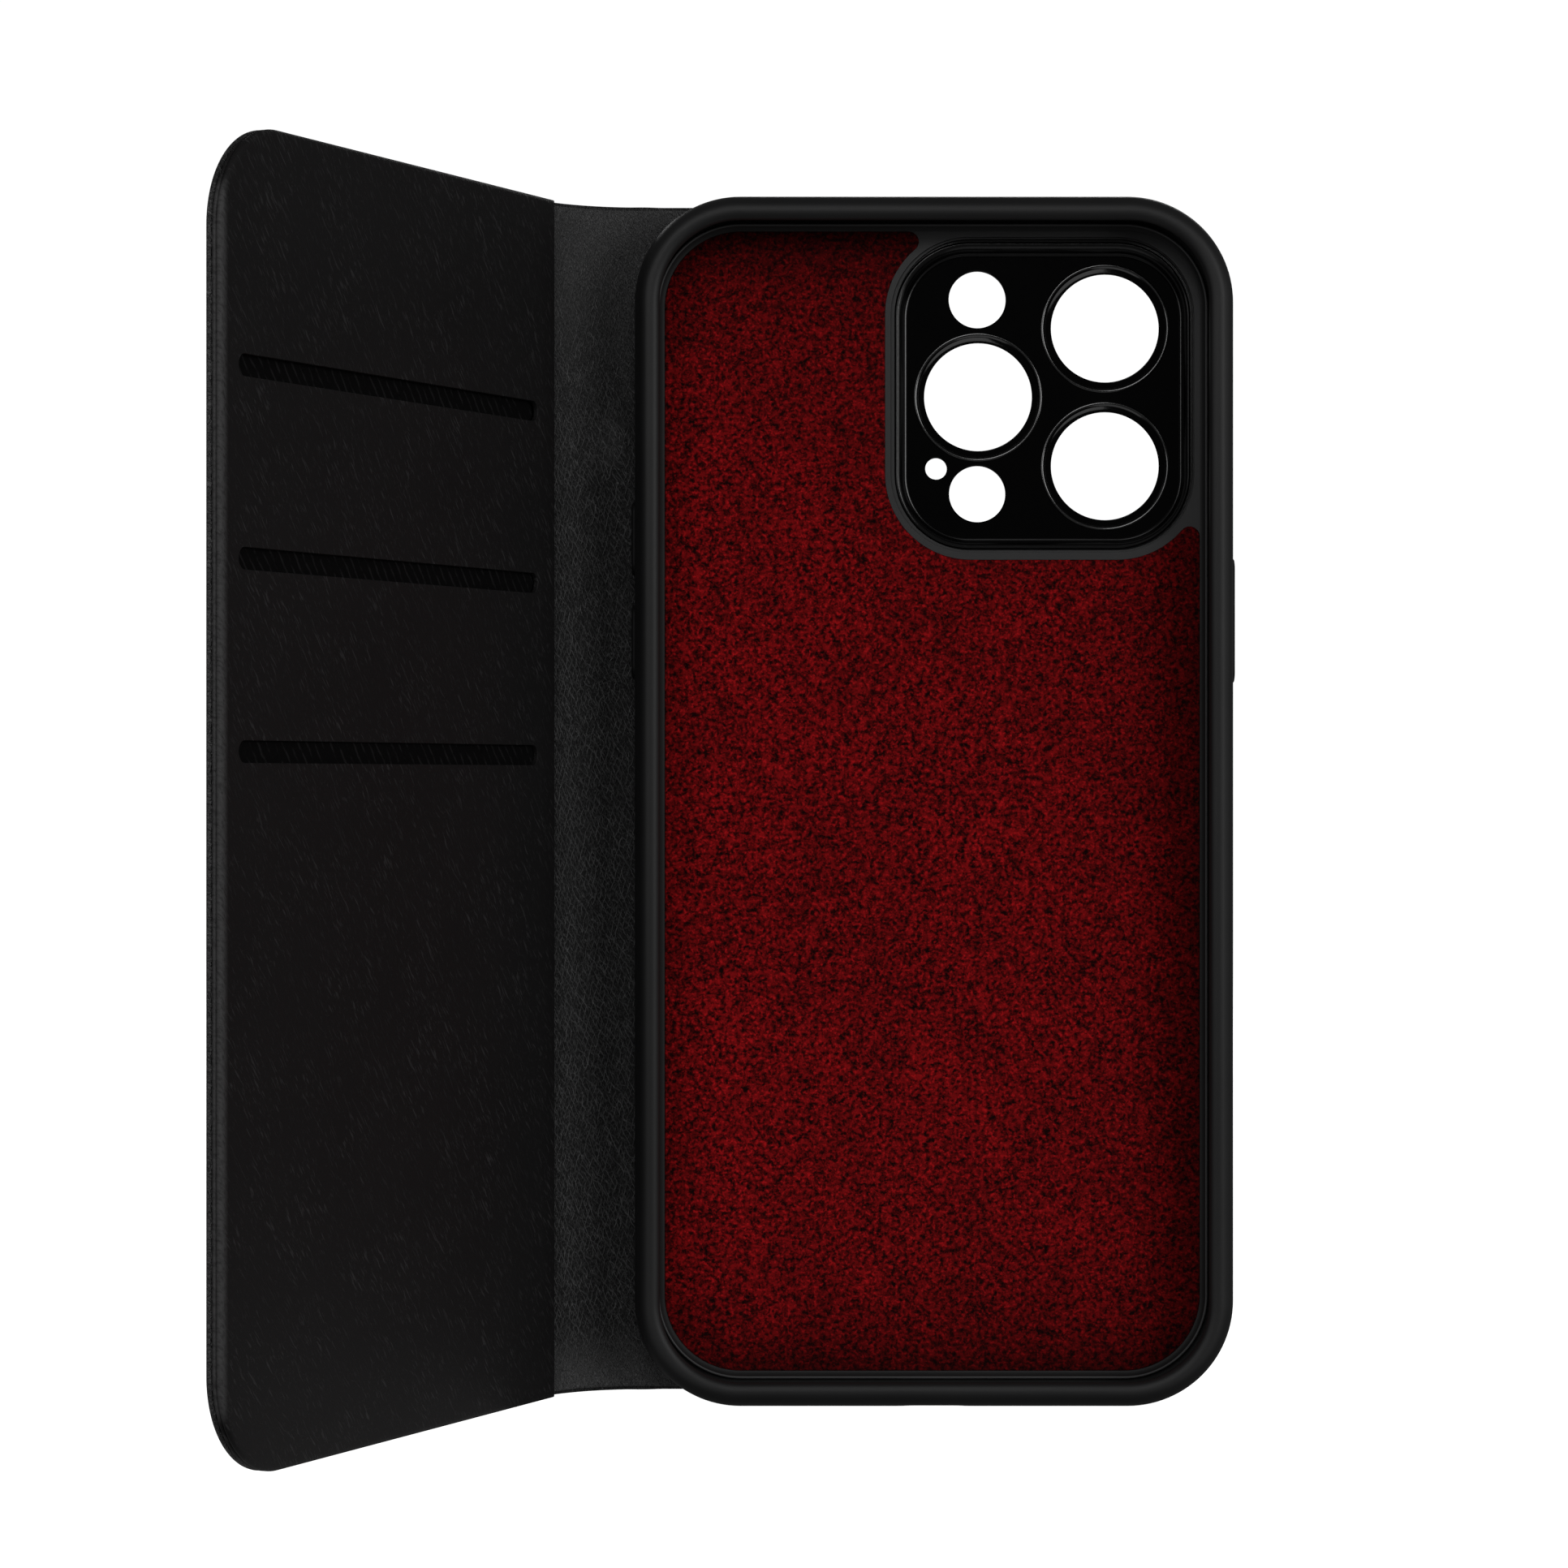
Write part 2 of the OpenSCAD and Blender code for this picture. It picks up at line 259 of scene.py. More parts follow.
# ---------------------------------------------------------------- materials
class Mat:
    def __init__(self, name, coords="grain_pos"):
        self.m = bpy.data.materials.new(name)
        self.m.use_nodes = True
        self.t = self.m.node_tree
        self.b = next(n for n in self.t.nodes if n.type == "BSDF_PRINCIPLED")
        if coords == "object":
            tc = self.node("ShaderNodeTexCoord")
            mp = self.node("ShaderNodeMapping")
            mp.inputs["Scale"].default_value = (1000, 1000, 1000)
            self.link(tc.outputs["Object"], mp.inputs["Vector"])
            self.p = mp.outputs["Vector"]
        else:
            at = self.node("ShaderNodeAttribute")
            at.attribute_name = coords
            self.p = at.outputs["Vector"]

    def node(self, kind, **props):
        n = self.t.nodes.new(kind)
        for k, v in props.items():
            setattr(n, k, v)
        return n

    def link(self, a, b):
        self.t.links.new(a, b)

    def set(self, **kw):
        for k, v in kw.items():
            self.b.inputs[k.replace("_", " ")].default_value = v
        return self

    def math(self, op, a, b=None, c=None, clamp=False):
        n = self.node("ShaderNodeMath", operation=op, use_clamp=clamp)
        for i, v in enumerate((a, b, c)):
            if v is None:
                continue
            if isinstance(v, (int, float)):
                n.inputs[i].default_value = v
            else:
                self.link(v, n.inputs[i])
        return n.outputs[0]

    def mapping(self, vec, rot=(0, 0, 0), scale=(1, 1, 1), loc=(0, 0, 0)):
        n = self.node("ShaderNodeMapping", vector_type="POINT")
        n.inputs["Rotation"].default_value = rot
        n.inputs["Scale"].default_value = scale
        n.inputs["Location"].default_value = loc
        self.link(vec, n.inputs["Vector"])
        return n.outputs["Vector"]

    def turned(self, vec, angle):
        n = self.node("ShaderNodeVectorRotate", rotation_type="Z_AXIS")
        n.inputs["Angle"].default_value = math.radians(angle)
        self.link(vec, n.inputs["Vector"])
        return n.outputs["Vector"]

    def noise(self, vec, scale, detail=2.0, rough=0.5, distort=0.0, out="Fac"):
        n = self.node("ShaderNodeTexNoise")
        n.inputs["Scale"].default_value = scale
        n.inputs["Detail"].default_value = detail
        n.inputs["Roughness"].default_value = rough
        n.inputs["Distortion"].default_value = distort
        self.link(vec, n.inputs["Vector"])
        return n.outputs[out]

    def voronoi(self, vec, scale=1.0, feature="DISTANCE_TO_EDGE", rand=1.0, out="Distance"):
        n = self.node("ShaderNodeTexVoronoi", feature=feature)
        n.inputs["Scale"].default_value = scale
        n.inputs["Randomness"].default_value = rand
        self.link(vec, n.inputs["Vector"])
        return n.outputs[out]

    def warp(self, vec, scale, amount, detail=1.0):
        """Pushes a vector about by a noise, amount in its own units."""
        c = self.noise(vec, scale, detail, out="Color")
        s = self.node("ShaderNodeVectorMath", operation="SUBTRACT")
        self.link(c, s.inputs[0])
        s.inputs[1].default_value = (0.5, 0.5, 0.5)
        m = self.node("ShaderNodeVectorMath", operation="SCALE")
        self.link(s.outputs[0], m.inputs[0])
        m.inputs["Scale"].default_value = amount * 2
        a = self.node("ShaderNodeVectorMath", operation="ADD")
        self.link(vec, a.inputs[0])
        self.link(m.outputs[0], a.inputs[1])
        return a.outputs[0]

    def range(self, v, a, b, c=0.0, d=1.0, kind="SMOOTHSTEP"):
        n = self.node("ShaderNodeMapRange", interpolation_type=kind)
        self.link(v, n.inputs["Value"])
        for k, x in zip(("From Min", "From Max", "To Min", "To Max"), (a, b, c, d)):
            n.inputs[k].default_value = x
        return n.outputs["Result"]

    def mix(self, f, a, b):
        n = self.node("ShaderNodeMix", data_type="RGBA")
        ins = [i for i in n.inputs if i.type == "RGBA"]
        fac = next(i for i in n.inputs if i.type == "VALUE")
        if isinstance(f, (int, float)):
            fac.default_value = f
        else:
            self.link(f, fac)
        for i, v in zip(ins, (a, b)):
            if isinstance(v, tuple):
                i.default_value = (*v, 1)
            else:
                self.link(v, i)
        return next(o for o in n.outputs if o.type == "RGBA")

    def bump(self, height, dist_mm, strength=1.0):
        n = self.node("ShaderNodeBump")
        n.inputs["Strength"].default_value = strength
        n.inputs["Distance"].default_value = dist_mm * MM
        self.link(height, n.inputs["Height"])
        self.link(n.outputs["Normal"], self.b.inputs["Normal"])

    def color(self, c):
        self.link(c, self.b.inputs["Base Color"])

    def rough(self, r):
        self.link(r, self.b.inputs["Roughness"])


def edge_highlight(m, tone, grit):
    """The front cover's free edge is painted paler: a painted highlight along its rounded edge."""
    sep = m.node("ShaderNodeSeparateXYZ")
    m.link(m.p, sep.inputs[0])
    edge_highlight_band = m.range(sep.outputs["X"], S_FLAP - 1.7, S_FLAP - 0.5)
    return m.mix(m.math("MULTIPLY", edge_highlight_band, m.range(grit, 0.25, 0.62, 0.35, 1.0)), tone, (0.066, 0.065, 0.066))


def leather(name, base, crest_highlight, angle, width, length, height, rough, spec, end_highlight=0.0):
    """Pebbled leather: long raised lines of two slants cross into narrow diamonds, with a finer crackle between them;
    the lines and the crackle are painted in a far lighter tone, a painted highlight. width and length are a diamond's
    size in mm. The last argument is how much lighter the leather is painted at its top and bottom, a painted highlight.
    """
    m = Mat(name)
    lines = None
    for a, w, l, loc, k in ((angle, width, length, (0, 0, 0), 1.0), (-angle * 0.62, width * 1.15, length, (9.7, 7.9, 0), 0.85), (angle * 1.75, width * 1.6, length * 0.8, (1.7, 12.9, 0), 0.55)):
        v = m.warp(m.mapping(m.turned(m.p, a), loc=loc), 0.5, w * 0.62, 2)
        wave = m.node("ShaderNodeTexWave", wave_type="BANDS", bands_direction="X", wave_profile="SIN")
        wave.inputs["Scale"].default_value = 0.31416 / w
        wave.inputs["Distortion"].default_value = 0.0
        m.link(v, wave.inputs["Vector"])
        gaps = m.range(m.noise(m.mapping(v, scale=(1 / w, 1 / l, 1)), 0.8, 1, 0.5), 0.38, 0.56)
        line = m.math("MULTIPLY", m.math("MULTIPLY", m.range(wave.outputs["Fac"], 0.82, 0.99), gaps), k)
        lines = line if lines is None else m.math("MAXIMUM", lines, line)
    v = m.warp(m.mapping(m.turned(m.p, angle), scale=(1 / 0.34, 1 / 0.50, 1)), 0.9, 0.3, 1)
    d2 = m.voronoi(v, 1.0)
    small = m.math("SUBTRACT", 1.0, m.range(d2, 0.0, 0.22))
    pores = m.noise(m.mapping(m.turned(m.p, angle), scale=(1 / 0.28, 1 / 0.4, 1)), 1.0, 2, 0.6)
    h = m.math("ADD", lines, m.math("MULTIPLY", small, 0.40))
    h = m.math("ADD", h, m.math("MULTIPLY", pores, 0.35))
    m.bump(h, height)
    big = m.noise(m.p, 0.05, 3, 0.55)
    patchy = m.noise(m.mapping(m.turned(m.p, angle), scale=(0.5, 0.28, 0.5)), 1.0, 2, 0.5)
    crest_highlight_patches = m.math("MULTIPLY", m.range(patchy, 0.25, 0.75, 0.65, 1.0), m.range(big, 0.3, 0.7, 0.85, 1.0))
    f = m.math("MULTIPLY", m.math("ADD", m.math("MULTIPLY", lines, 0.75), m.math("MULTIPLY", m.math("MULTIPLY", small, m.range(pores, 0.3, 0.65)), 0.34)), crest_highlight_patches, clamp=True)
    ground = m.mix(m.range(pores, 0.3, 0.7), tuple(x * 0.55 for x in base), tuple(x * 1.25 for x in base))
    # painted highlight: the raised lines and crackle take the lighter tone, in patches of stronger and weaker highlight
    tone = m.mix(f, ground, crest_highlight)
    # painted highlight: lighter over the bottom 11 mm and, more faintly, from 128 mm up to the top, standing in for
    # light falling on the spine's top and bottom
    if end_highlight:
        sep = m.node("ShaderNodeSeparateXYZ")
        m.link(m.p, sep.inputs[0])
        end_highlight_mask = m.math("MAXIMUM", m.range(sep.outputs["Y"], 11.0, 1.0, 0.0, 1.0), m.range(sep.outputs["Y"], 128.0, 163.0, 0.0, 0.55))
        tone = m.mix(m.math("MULTIPLY", end_highlight_mask, m.range(pores, 0.25, 0.6, 0.45, 1.0)), tone, tuple(end_highlight * x for x in (1, 1, 1.01)))
    m.color(edge_highlight(m, tone, pores))
    m.rough(m.math("SUBTRACT", rough + 0.06, m.math("MULTIPLY", f, 0.16)))
    m.set(Specular_IOR_Level=spec)
    return m.m


def streaked(name, base, light, rough, spec, height):
    """Smooth calf-like leather: nearly plain, with sparse fine slanted hairline creases and dots whose highlights are
    painted into the colour.
    """
    m = Mat(name)
    v = m.turned(m.p, 39)
    v = m.warp(v, 0.25, 0.35, 1)
    hair = m.noise(m.mapping(v, scale=(1 / 0.27, 1 / 2.0, 1)), 1.0, 1, 0.4)
    hair2 = m.noise(m.mapping(m.turned(m.p, 31), scale=(1 / 0.24, 1 / 1.3, 1), loc=(9, 4, 0)), 1.0, 1, 0.4)
    streak = m.math("MAXIMUM", m.range(hair, 0.60, 0.73), m.math("MULTIPLY", m.range(hair2, 0.64, 0.76), 0.7))
    dots = m.range(m.noise(m.mapping(m.p, scale=(1 / 0.42, 1 / 0.36, 1)), 1.0, 1, 0.4), 0.64, 0.76)
    fine = m.noise(m.mapping(v, scale=(1 / 0.30, 1 / 0.75, 1)), 1.0, 3, 0.6)
    h = m.math("ADD", m.math("MULTIPLY", streak, 0.9), m.math("MULTIPLY", fine, 0.5))
    h = m.math("ADD", h, m.math("MULTIPLY", dots, 0.4))
    m.bump(h, height)
    big = m.noise(m.p, 0.04, 3, 0.55)
    ground = m.mix(m.math("ADD", m.math("MULTIPLY", m.range(big, 0.3, 0.7), 0.5), m.math("MULTIPLY", fine, 0.5)), tuple(x * 0.82 for x in base), tuple(x * 1.18 for x in base))
    patchy = m.range(m.noise(m.p, 0.11, 2, 0.5), 0.32, 0.62, 0.3, 1.0)
    # painted highlight: the creases and dots are painted in the lighter tone
    m.color(edge_highlight(m, m.mix(m.math("MULTIPLY", m.math("MAXIMUM", streak, m.math("MULTIPLY", dots, 0.35)), patchy), ground, light), fine))
    m.rough(m.math("ADD", rough - 0.05, m.math("MULTIPLY", fine, 0.12)))
    m.set(Specular_IOR_Level=spec)
    return m.m


def moulded(name, base, rough, fine=0.02, coords="grain_pos", spec=0.5, dull=None, deep=None, bead=None):
    """Moulded plastic or soft-touch rubber: a very fine spark-eroded texture and a faint bloom. dull is the roughness
    where the point attribute "inside" is 1. deep is the colour where that attribute nears 1. The last argument is a
    painted highlight colour, laid where its own point attribute is 1.
    """
    m = Mat(name, coords)
    n = m.noise(m.p, 6.0, 3, 0.6)
    m.bump(n, fine)
    bloom = m.noise(m.p, 0.05, 3, 0.5)
    c = m.mix(m.range(bloom, 0.3, 0.7), tuple(x * 0.88 for x in base), tuple(x * 1.1 for x in base))
    r = m.math("ADD", m.math("MULTIPLY", n, 0.12), rough - 0.06)
    if dull:
        at = m.node("ShaderNodeAttribute")
        at.attribute_name = "inside"
        r = m.math("ADD", r, m.math("MULTIPLY", at.outputs["Fac"], dull - rough))
        # on the bumper this darker colour is painted shade under the lip; on the camera bezel it is the well's own
        # gloss black
        if deep:
            c = m.mix(m.range(at.outputs["Fac"], 0.7, 1.0), c, deep)
    # painted highlight colour where its point attribute is 1
    if bead:
        at = m.node("ShaderNodeAttribute")
        at.attribute_name = "bead"
        c = m.mix(at.outputs["Fac"], c, bead)
    m.color(c)
    m.rough(r)
    m.set(Specular_IOR_Level=spec)
    return m.m


# each leather's second colour is the painted highlight of its raised lines
mat_outer = leather("outer_leather", (0.0105, 0.0105, 0.0110), (0.075, 0.075, 0.076), 18, 0.8, 2.0, 0.26, 0.46, 0.5)
mat_spine = leather("pebbled_leather", (0.0065, 0.0065, 0.0067), (0.170, 0.170, 0.172), 25, 0.62, 1.7, 0.24, 0.50, 0.4, end_highlight=0.105)
# the panel's second colour is the painted highlight of its streaks
mat_panel = streaked("panel_leather", (0.0072, 0.0066, 0.0069), (0.031, 0.030, 0.031), 0.60, 0.25, 0.045)
# painted shade: the bumper under its lip is painted near black; painted highlight: the small ridge inside the lip is
# painted light grey
mat_bumper = moulded("soft_touch", (0.0098, 0.0098, 0.0101), 0.48, 0.006, dull=0.78, deep=(0.003, 0.003, 0.003), bead=(0.070, 0.070, 0.071), spec=0.36)
mat_shell = moulded("matt_shell", (0.016, 0.016, 0.0165), 0.5, 0.01, dull=0.2, deep=(0.0012, 0.0012, 0.0013))
mat_shell_cad = moulded("matt_shell_back", (0.016, 0.016, 0.0165), 0.5, 0.01, "object")


def suede():
    m = Mat("suede")
    nap = m.warp(m.p, 0.6, 0.45, 2)
    fibre = m.noise(nap, 1.75, 2, 0.55)
    speck = m.noise(m.p, 2.5, 1, 0.4)
    tuft = m.noise(m.p, 0.85, 2, 0.6)
    mottle = m.noise(m.p, 0.09, 4, 0.6)
    f = m.math("MULTIPLY", m.range(fibre, 0.34, 0.62, 0.0, 1.0, "LINEAR"), 0.58)
    f = m.math("ADD", f, m.math("MULTIPLY", m.range(tuft, 0.3, 0.7), 0.16))
    f = m.math("ADD", f, m.math("MULTIPLY", m.range(speck, 0.52, 0.74), 0.42))
    # painted shade: the suede's colour is darkened towards its edges by a point attribute, standing in for the shade of
    # the tray's walls; the mottle beside it is the suede's own tone
    wall_shade_attr = m.node("ShaderNodeAttribute")
    wall_shade_attr.attribute_name = "edge_shade"
    shade = m.math("MULTIPLY", m.range(mottle, 0.3, 0.66, 0.80, 1.0), m.range(wall_shade_attr.outputs["Fac"], 0.0, 1.0, 0.0, 1.0, "LINEAR"))
    f = m.math("MULTIPLY", m.math("POWER", m.math("MINIMUM", f, 1.0), 1.55), shade, clamp=True)
    deep, red = (0.006, 0.0002, 0.0004), (0.62, 0.0088, 0.0125)
    m.color(m.mix(f, deep, red))
    m.bump(m.math("ADD", fibre, m.math("MULTIPLY", tuft, 0.5)), 0.22)
    m.set(Roughness=0.95, Specular_IOR_Level=0.12, Sheen_Weight=0.06, Sheen_Roughness=0.4, Sheen_Tint=(0.9, 0.10, 0.10, 1))
    return m.m


def fabric():
    m = Mat("ribbed_fabric")
    v = m.turned(m.p, 39)
    v = m.warp(v, 0.5, 0.16, 2)
    w = m.node("ShaderNodeTexWave", wave_type="BANDS", bands_direction="X", wave_profile="SIN")
    w.inputs["Scale"].default_value = 0.22
    w.inputs["Distortion"].default_value = 1.6
    w.inputs["Detail"].default_value = 2
    w.inputs["Detail Scale"].default_value = 1.5
    m.link(v, w.inputs["Vector"])
    rib = m.range(w.outputs["Fac"], 0.74, 1.0)
    broken = m.range(m.noise(m.mapping(v, scale=(1, 0.45, 1)), 1.0, 2, 0.6), 0.38, 0.62)
    fine = m.noise(m.mapping(v, scale=(2.6, 1.0, 2.6)), 1.3, 2, 0.6)
    ribs = m.math("MULTIPLY", rib, broken)
    h = m.math("ADD", m.math("MULTIPLY", rib, 0.7), m.math("MULTIPLY", fine, 0.4))
    m.bump(h, 0.10)
    ground = m.mix(fine, (0.0010, 0.0010, 0.0011), (0.0036, 0.0035, 0.0037))
    m.color(m.mix(ribs, ground, (0.014, 0.0135, 0.014)))
    m.set(Roughness=0.85, Specular_IOR_Level=0.10)
    return m.m


def board():
    m = Mat("pressed_board", "object")
    n = m.noise(m.p, 1.2, 4, 0.6)
    flecks = m.noise(m.mapping(m.p, scale=(3, 3, 0.7)), 1.0, 2, 0.5)
    m.color(m.mix(m.range(m.math("ADD", m.math("MULTIPLY", n, 0.6), m.math("MULTIPLY", flecks, 0.4)), 0.3, 0.7), (0.17, 0.16, 0.15), (0.29, 0.28, 0.26)))
    m.bump(n, 0.03)
    m.set(Roughness=0.9)
    return m.m


def steel():
    m = Mat("nickel_steel", "object")
    n = m.noise(m.mapping(m.p, scale=(0.3, 6, 6)), 1.0, 3, 0.6)
    m.color(m.mix(n, (0.48, 0.49, 0.51), (0.62, 0.63, 0.65)))
    m.rough(m.range(n, 0.2, 0.8, 0.22, 0.38, "LINEAR"))
    m.bump(n, 0.004)
    m.set(Metallic=1.0)
    return m.m


def gloss(name, rough, spec, ior):
    m = Mat(name)
    n = m.noise(m.p, 0.25, 2, 0.5)
    m.color(m.mix(n, (0.0006, 0.0006, 0.0007), (0.0012, 0.0012, 0.0013)))
    fine = m.noise(m.p, 3.0, 2, 0.5)
    m.rough(m.range(fine, 0.3, 0.7, rough, rough + 0.04, "LINEAR"))
    m.bump(n, 0.003)
    m.set(IOR=ior, Specular_IOR_Level=spec)
    return m.m


def key_plastic():
    m = Mat("button_black")
    n = m.noise(m.p, 4.0, 2, 0.5)
    m.color(m.mix(n, (0.004, 0.004, 0.0043), (0.007, 0.007, 0.0074)))
    m.rough(m.range(n, 0.3, 0.7, 0.54, 0.62, "LINEAR"))
    m.bump(n, 0.004)
    m.set(Specular_IOR_Level=0.2)
    return m.m


mat_suede, mat_fabric, mat_board, mat_steel, mat_gloss, mat_collar, mat_key = suede(), fabric(), board(), steel(), gloss("gloss_black", 0.05, 0.18, 1.42), gloss("collar_black", 0.12, 1.0, 1.6), key_plastic()


def dress(ob, mat):
    ob.data.materials.clear()
    ob.data.materials.append(mat)
    return ob


for node, mat in {"back_board": mat_board, "front_board": mat_board, "docking_plate": mat_steel, "closure_magnets": mat_steel,
                  "magnet_ring": mat_steel, "magnet_bar": mat_steel, "closure_keeper": mat_steel, "back_shell": mat_shell_cad}.items():
    ob = frame["nodes"][node]
    ob.data.materials.clear()
    ob.data.materials.append(mat)
    for p in ob.data.polygons:
        p.material_index = 0

# ---------------------------------------------------------------- leather sheets
DIST = [0, 0.03, 0.08, 0.16, 0.27, 0.40, 0.56, 0.75, 1.0, 1.35, 1.7, 2.2, 3.2, 5.0]


def inset_of(s, z, s_end, half, r):
    """Distance in from a sheet's outline: straight at z = +-half, closed and rounded at s_end (on either side)."""
    sg = 1 if s_end > 0 else -1
    a = sg * s - (sg * s_end - r)
    b = np.abs(z) - (half - r)
    return np.where((a > 0) & (b > 0), r - np.hypot(np.maximum(a, 0), np.maximum(b, 0)), np.minimum(half - np.abs(z), np.where(sg * s > sg * s_end - r, sg * s_end - sg * s, 1e9)))


def sheet(name, s0, s_end, half, r, face_out, face_in, re_out, re_in, split=None, steps=None):
    """A closed leather sheet from s0 to its rounded free end s_end (or a straight end if r is 0). face_out and face_in give the height of its two faces at (s, inset)."""
    sg = 1 if s_end > s0 else -1
    lim = s_end - sg * r
    fixed = [s0]
    fixed += list(np.arange(-5, 18.3, 0.3))
    fixed += list(np.linspace(s0, lim, max(2, int(abs(lim - s0) / 7))))
    fixed = [s for s in fixed if sg * s0 - 1e-9 <= sg * s <= sg * lim - 0.1] + [lim]
    fixed = sorted(set(np.round(fixed, 4)), key=lambda v: sg * v)
    keep = [fixed[0]]
    for v in fixed[1:]:
        if abs(v - keep[-1]) > 0.12:
            keep.append(v)
    keep[-1] = lim
    cols = [(s, half) for s in keep]
    if r > 0:
        for k in range(1, 34):
            phi = math.radians(90 - 90 * k / 33)
            cols.append((lim + sg * r * math.cos(phi), half - r + r * math.sin(phi)))
    else:
        for d in DIST[::-1]:
            if 0 < d < 1.2:
                cols.insert(len(cols) - 1, (s_end - sg * d, half))
        cols = sorted(cols, key=lambda c: sg * c[0])
    d = np.array(DIST)
    inner = np.linspace(-(half - 5.0), half - 5.0, 24)[1:-1]
    zs = np.concatenate([-(half - d), inner, (half - d)[::-1]])
    S, Z = [], []
    for s, zh in cols:
        S.append(np.full(len(zs), s))
        Z.append(zs / half * zh)
    S, Z = np.array(S), np.array(Z)
    ins = inset_of(S, Z, s_end, half, max(r, 1e-6)) if r > 0 else np.minimum(half - np.abs(Z), np.abs(s_end - S))
    ins = np.maximum(ins, 0)
    o, i = face_out(S, ins), face_in(S, ins)
    mid = (o + i) / 2
    go = np.sqrt(np.maximum(0, 1 - (1 - np.minimum(ins / re_out, 1)) ** 2))
    gi = np.sqrt(np.maximum(0, 1 - (1 - np.minimum(ins / re_in, 1)) ** 2))
    O = sheet_point(S, mid + (o - mid) * go, Z)
    I = sheet_point(S, mid + (i - mid) * gi, Z)
    m, n = S.shape
    verts = np.concatenate([O.reshape(-1, 3), I.reshape(-1, 3)])
    faces = []
    for a in range(m - 1):
        for b in range(n - 1):
            p = a * n + b
            faces.append((p, p + 1, p + n + 1, p + n))
            q = p + m * n
            faces.append((q, q + n, q + n + 1, q + 1))
    for b in range(n - 1):
        faces.append((b, b + m * n, b + 1 + m * n, b + 1))
    return build(name, verts, faces)


def ss(x, a, b):
    t = np.clip((x - a) / (b - a), 0, 1)
    return t * t * (3 - 2 * t)


S_MID = ARC_L / 2
S_BACK = AX[0] - BACK_X1             # negative: the back cover's free edge
HALF = FH / 2


def outer_face(s, ins):
    """Outer face of the leather: over the back cover's board, down into the spine, and a shallow channel at the front crease."""
    h = -1.9 + 1.0 * ss(s, -4.6, -2.0)
    h = h + 0.16 * np.exp(-((s + 1.2) / 0.9) ** 2)
    h = h + 0.14 * np.exp(-((s - ARC_L) / 0.9) ** 2)
    return h


def outer_inner_face(s, ins):
    back = -0.35 - 0.85 * ss(ins, 1.3, 1.9) * (1 - ss(s, -5.6, -4.9))
    flap = -0.45 + 0.41 * ss(s, ARC_L + 1.5, ARC_L + 2.3) - 0.27 * ss(ins, 2.7, 3.2) * ss(s, ARC_L + 4.2, ARC_L + 4.8)
    h = np.where(s < S_MID, back + (-0.10) * ss(s, -1.6, 0.4) * 1.0, flap)
    return h


outer_a = sheet("outer_leather_back", S_MID, S_BACK, HALF, BACK_R, outer_face, outer_inner_face, 0.75, 0.45)
outer_b = sheet("outer_leather_front", S_MID, S_FLAP, HALF, FLAP_R, outer_face, outer_inner_face, 0.42, 0.42)
LIN = 0.5
lining_a = sheet("inner_leather_back", S_MID, S_BACK + 0.7, HALF - LIN, BACK_R - 0.7,
                 lambda s, i: -0.352 + np.where(s < S_MID, -0.098 * ss(s, -1.6, 0.4), -0.098) + 0.004, lambda s, i: s * 0.0, 0.15, 0.28)
lining_b = sheet("inner_leather_spine", S_MID, ARC_L + 1.35, HALF - LIN, 0,
                 lambda s, i: s * 0.0 - 0.446, lambda s, i: -0.03 * ss(s, ARC_L - 0.3, ARC_L + 0.3), 0.15, 0.28)


def case_window(grow, flare, d0, d1):
    """Cutter for the camera window, with a chamfered mouth at both faces."""
    w, h, r = 41.2 + 2 * grow, 43.0 + 2 * grow, 10.5 + grow
    prof = [(d0 - 1.0, flare), (d0, flare), (d0 + flare, 0), (d1 - flare * 0.5, 0), (d1, flare * 0.5), (d1 + 1.0, flare * 0.5)]
    rings = []
    for d, g in prof:
        o = rr(w + 2 * g, h + 2 * g, r + g, 15.4, 56.1)
        rings.append(case(o[:, 0], o[:, 1], d))
    return loft("window", rings)


boolean(outer_a, [case_window(0.7, 0.25, -1.9, -0.35)])
boolean(lining_a, [case_window(1.2, 0.1, -0.35, 0.0)])
for ob in (outer_a, outer_b):
    dress(grain(smooth(ob, 50)), mat_outer)
for ob in (lining_a, lining_b):
    dress(grain(smooth(ob, 50)), mat_spine)
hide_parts("back_leather", "spine_leather")
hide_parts("front_leather", "spine_leather")
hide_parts("back_lining", "spine_lining")
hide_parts("spine_lining")


# ---------------------------------------------------------------- pocket panel
def d_ring(inset, n, start=0.15, nc=30):
    """Front cover outline at an inset, at height n. The straight side lies along the crease."""
    h, w = HALF - inset, FLAP_W - inset
    u0, r = start + inset, FLAP_R - inset
    pts = [(u0, -h)]
    for k in range(nc + 1):
        a = math.radians(-90 + 90 * k / nc)
        pts.append((w - r + r * math.cos(a), -h + r + r * math.sin(a)))
    for k in range(nc + 1):
        a = math.radians(90 * k / nc)
        pts.append((w - r + r * math.cos(a), h - r + r * math.sin(a)))
    pts.append((u0, h))
    pts = np.array(pts)
    return sheet_point(ARC_L + pts[:, 0], n, pts[:, 1])


def d_plate(name, profile, start=0.15):
    return loft(name, [d_ring(i, n, start) for i, n in profile])


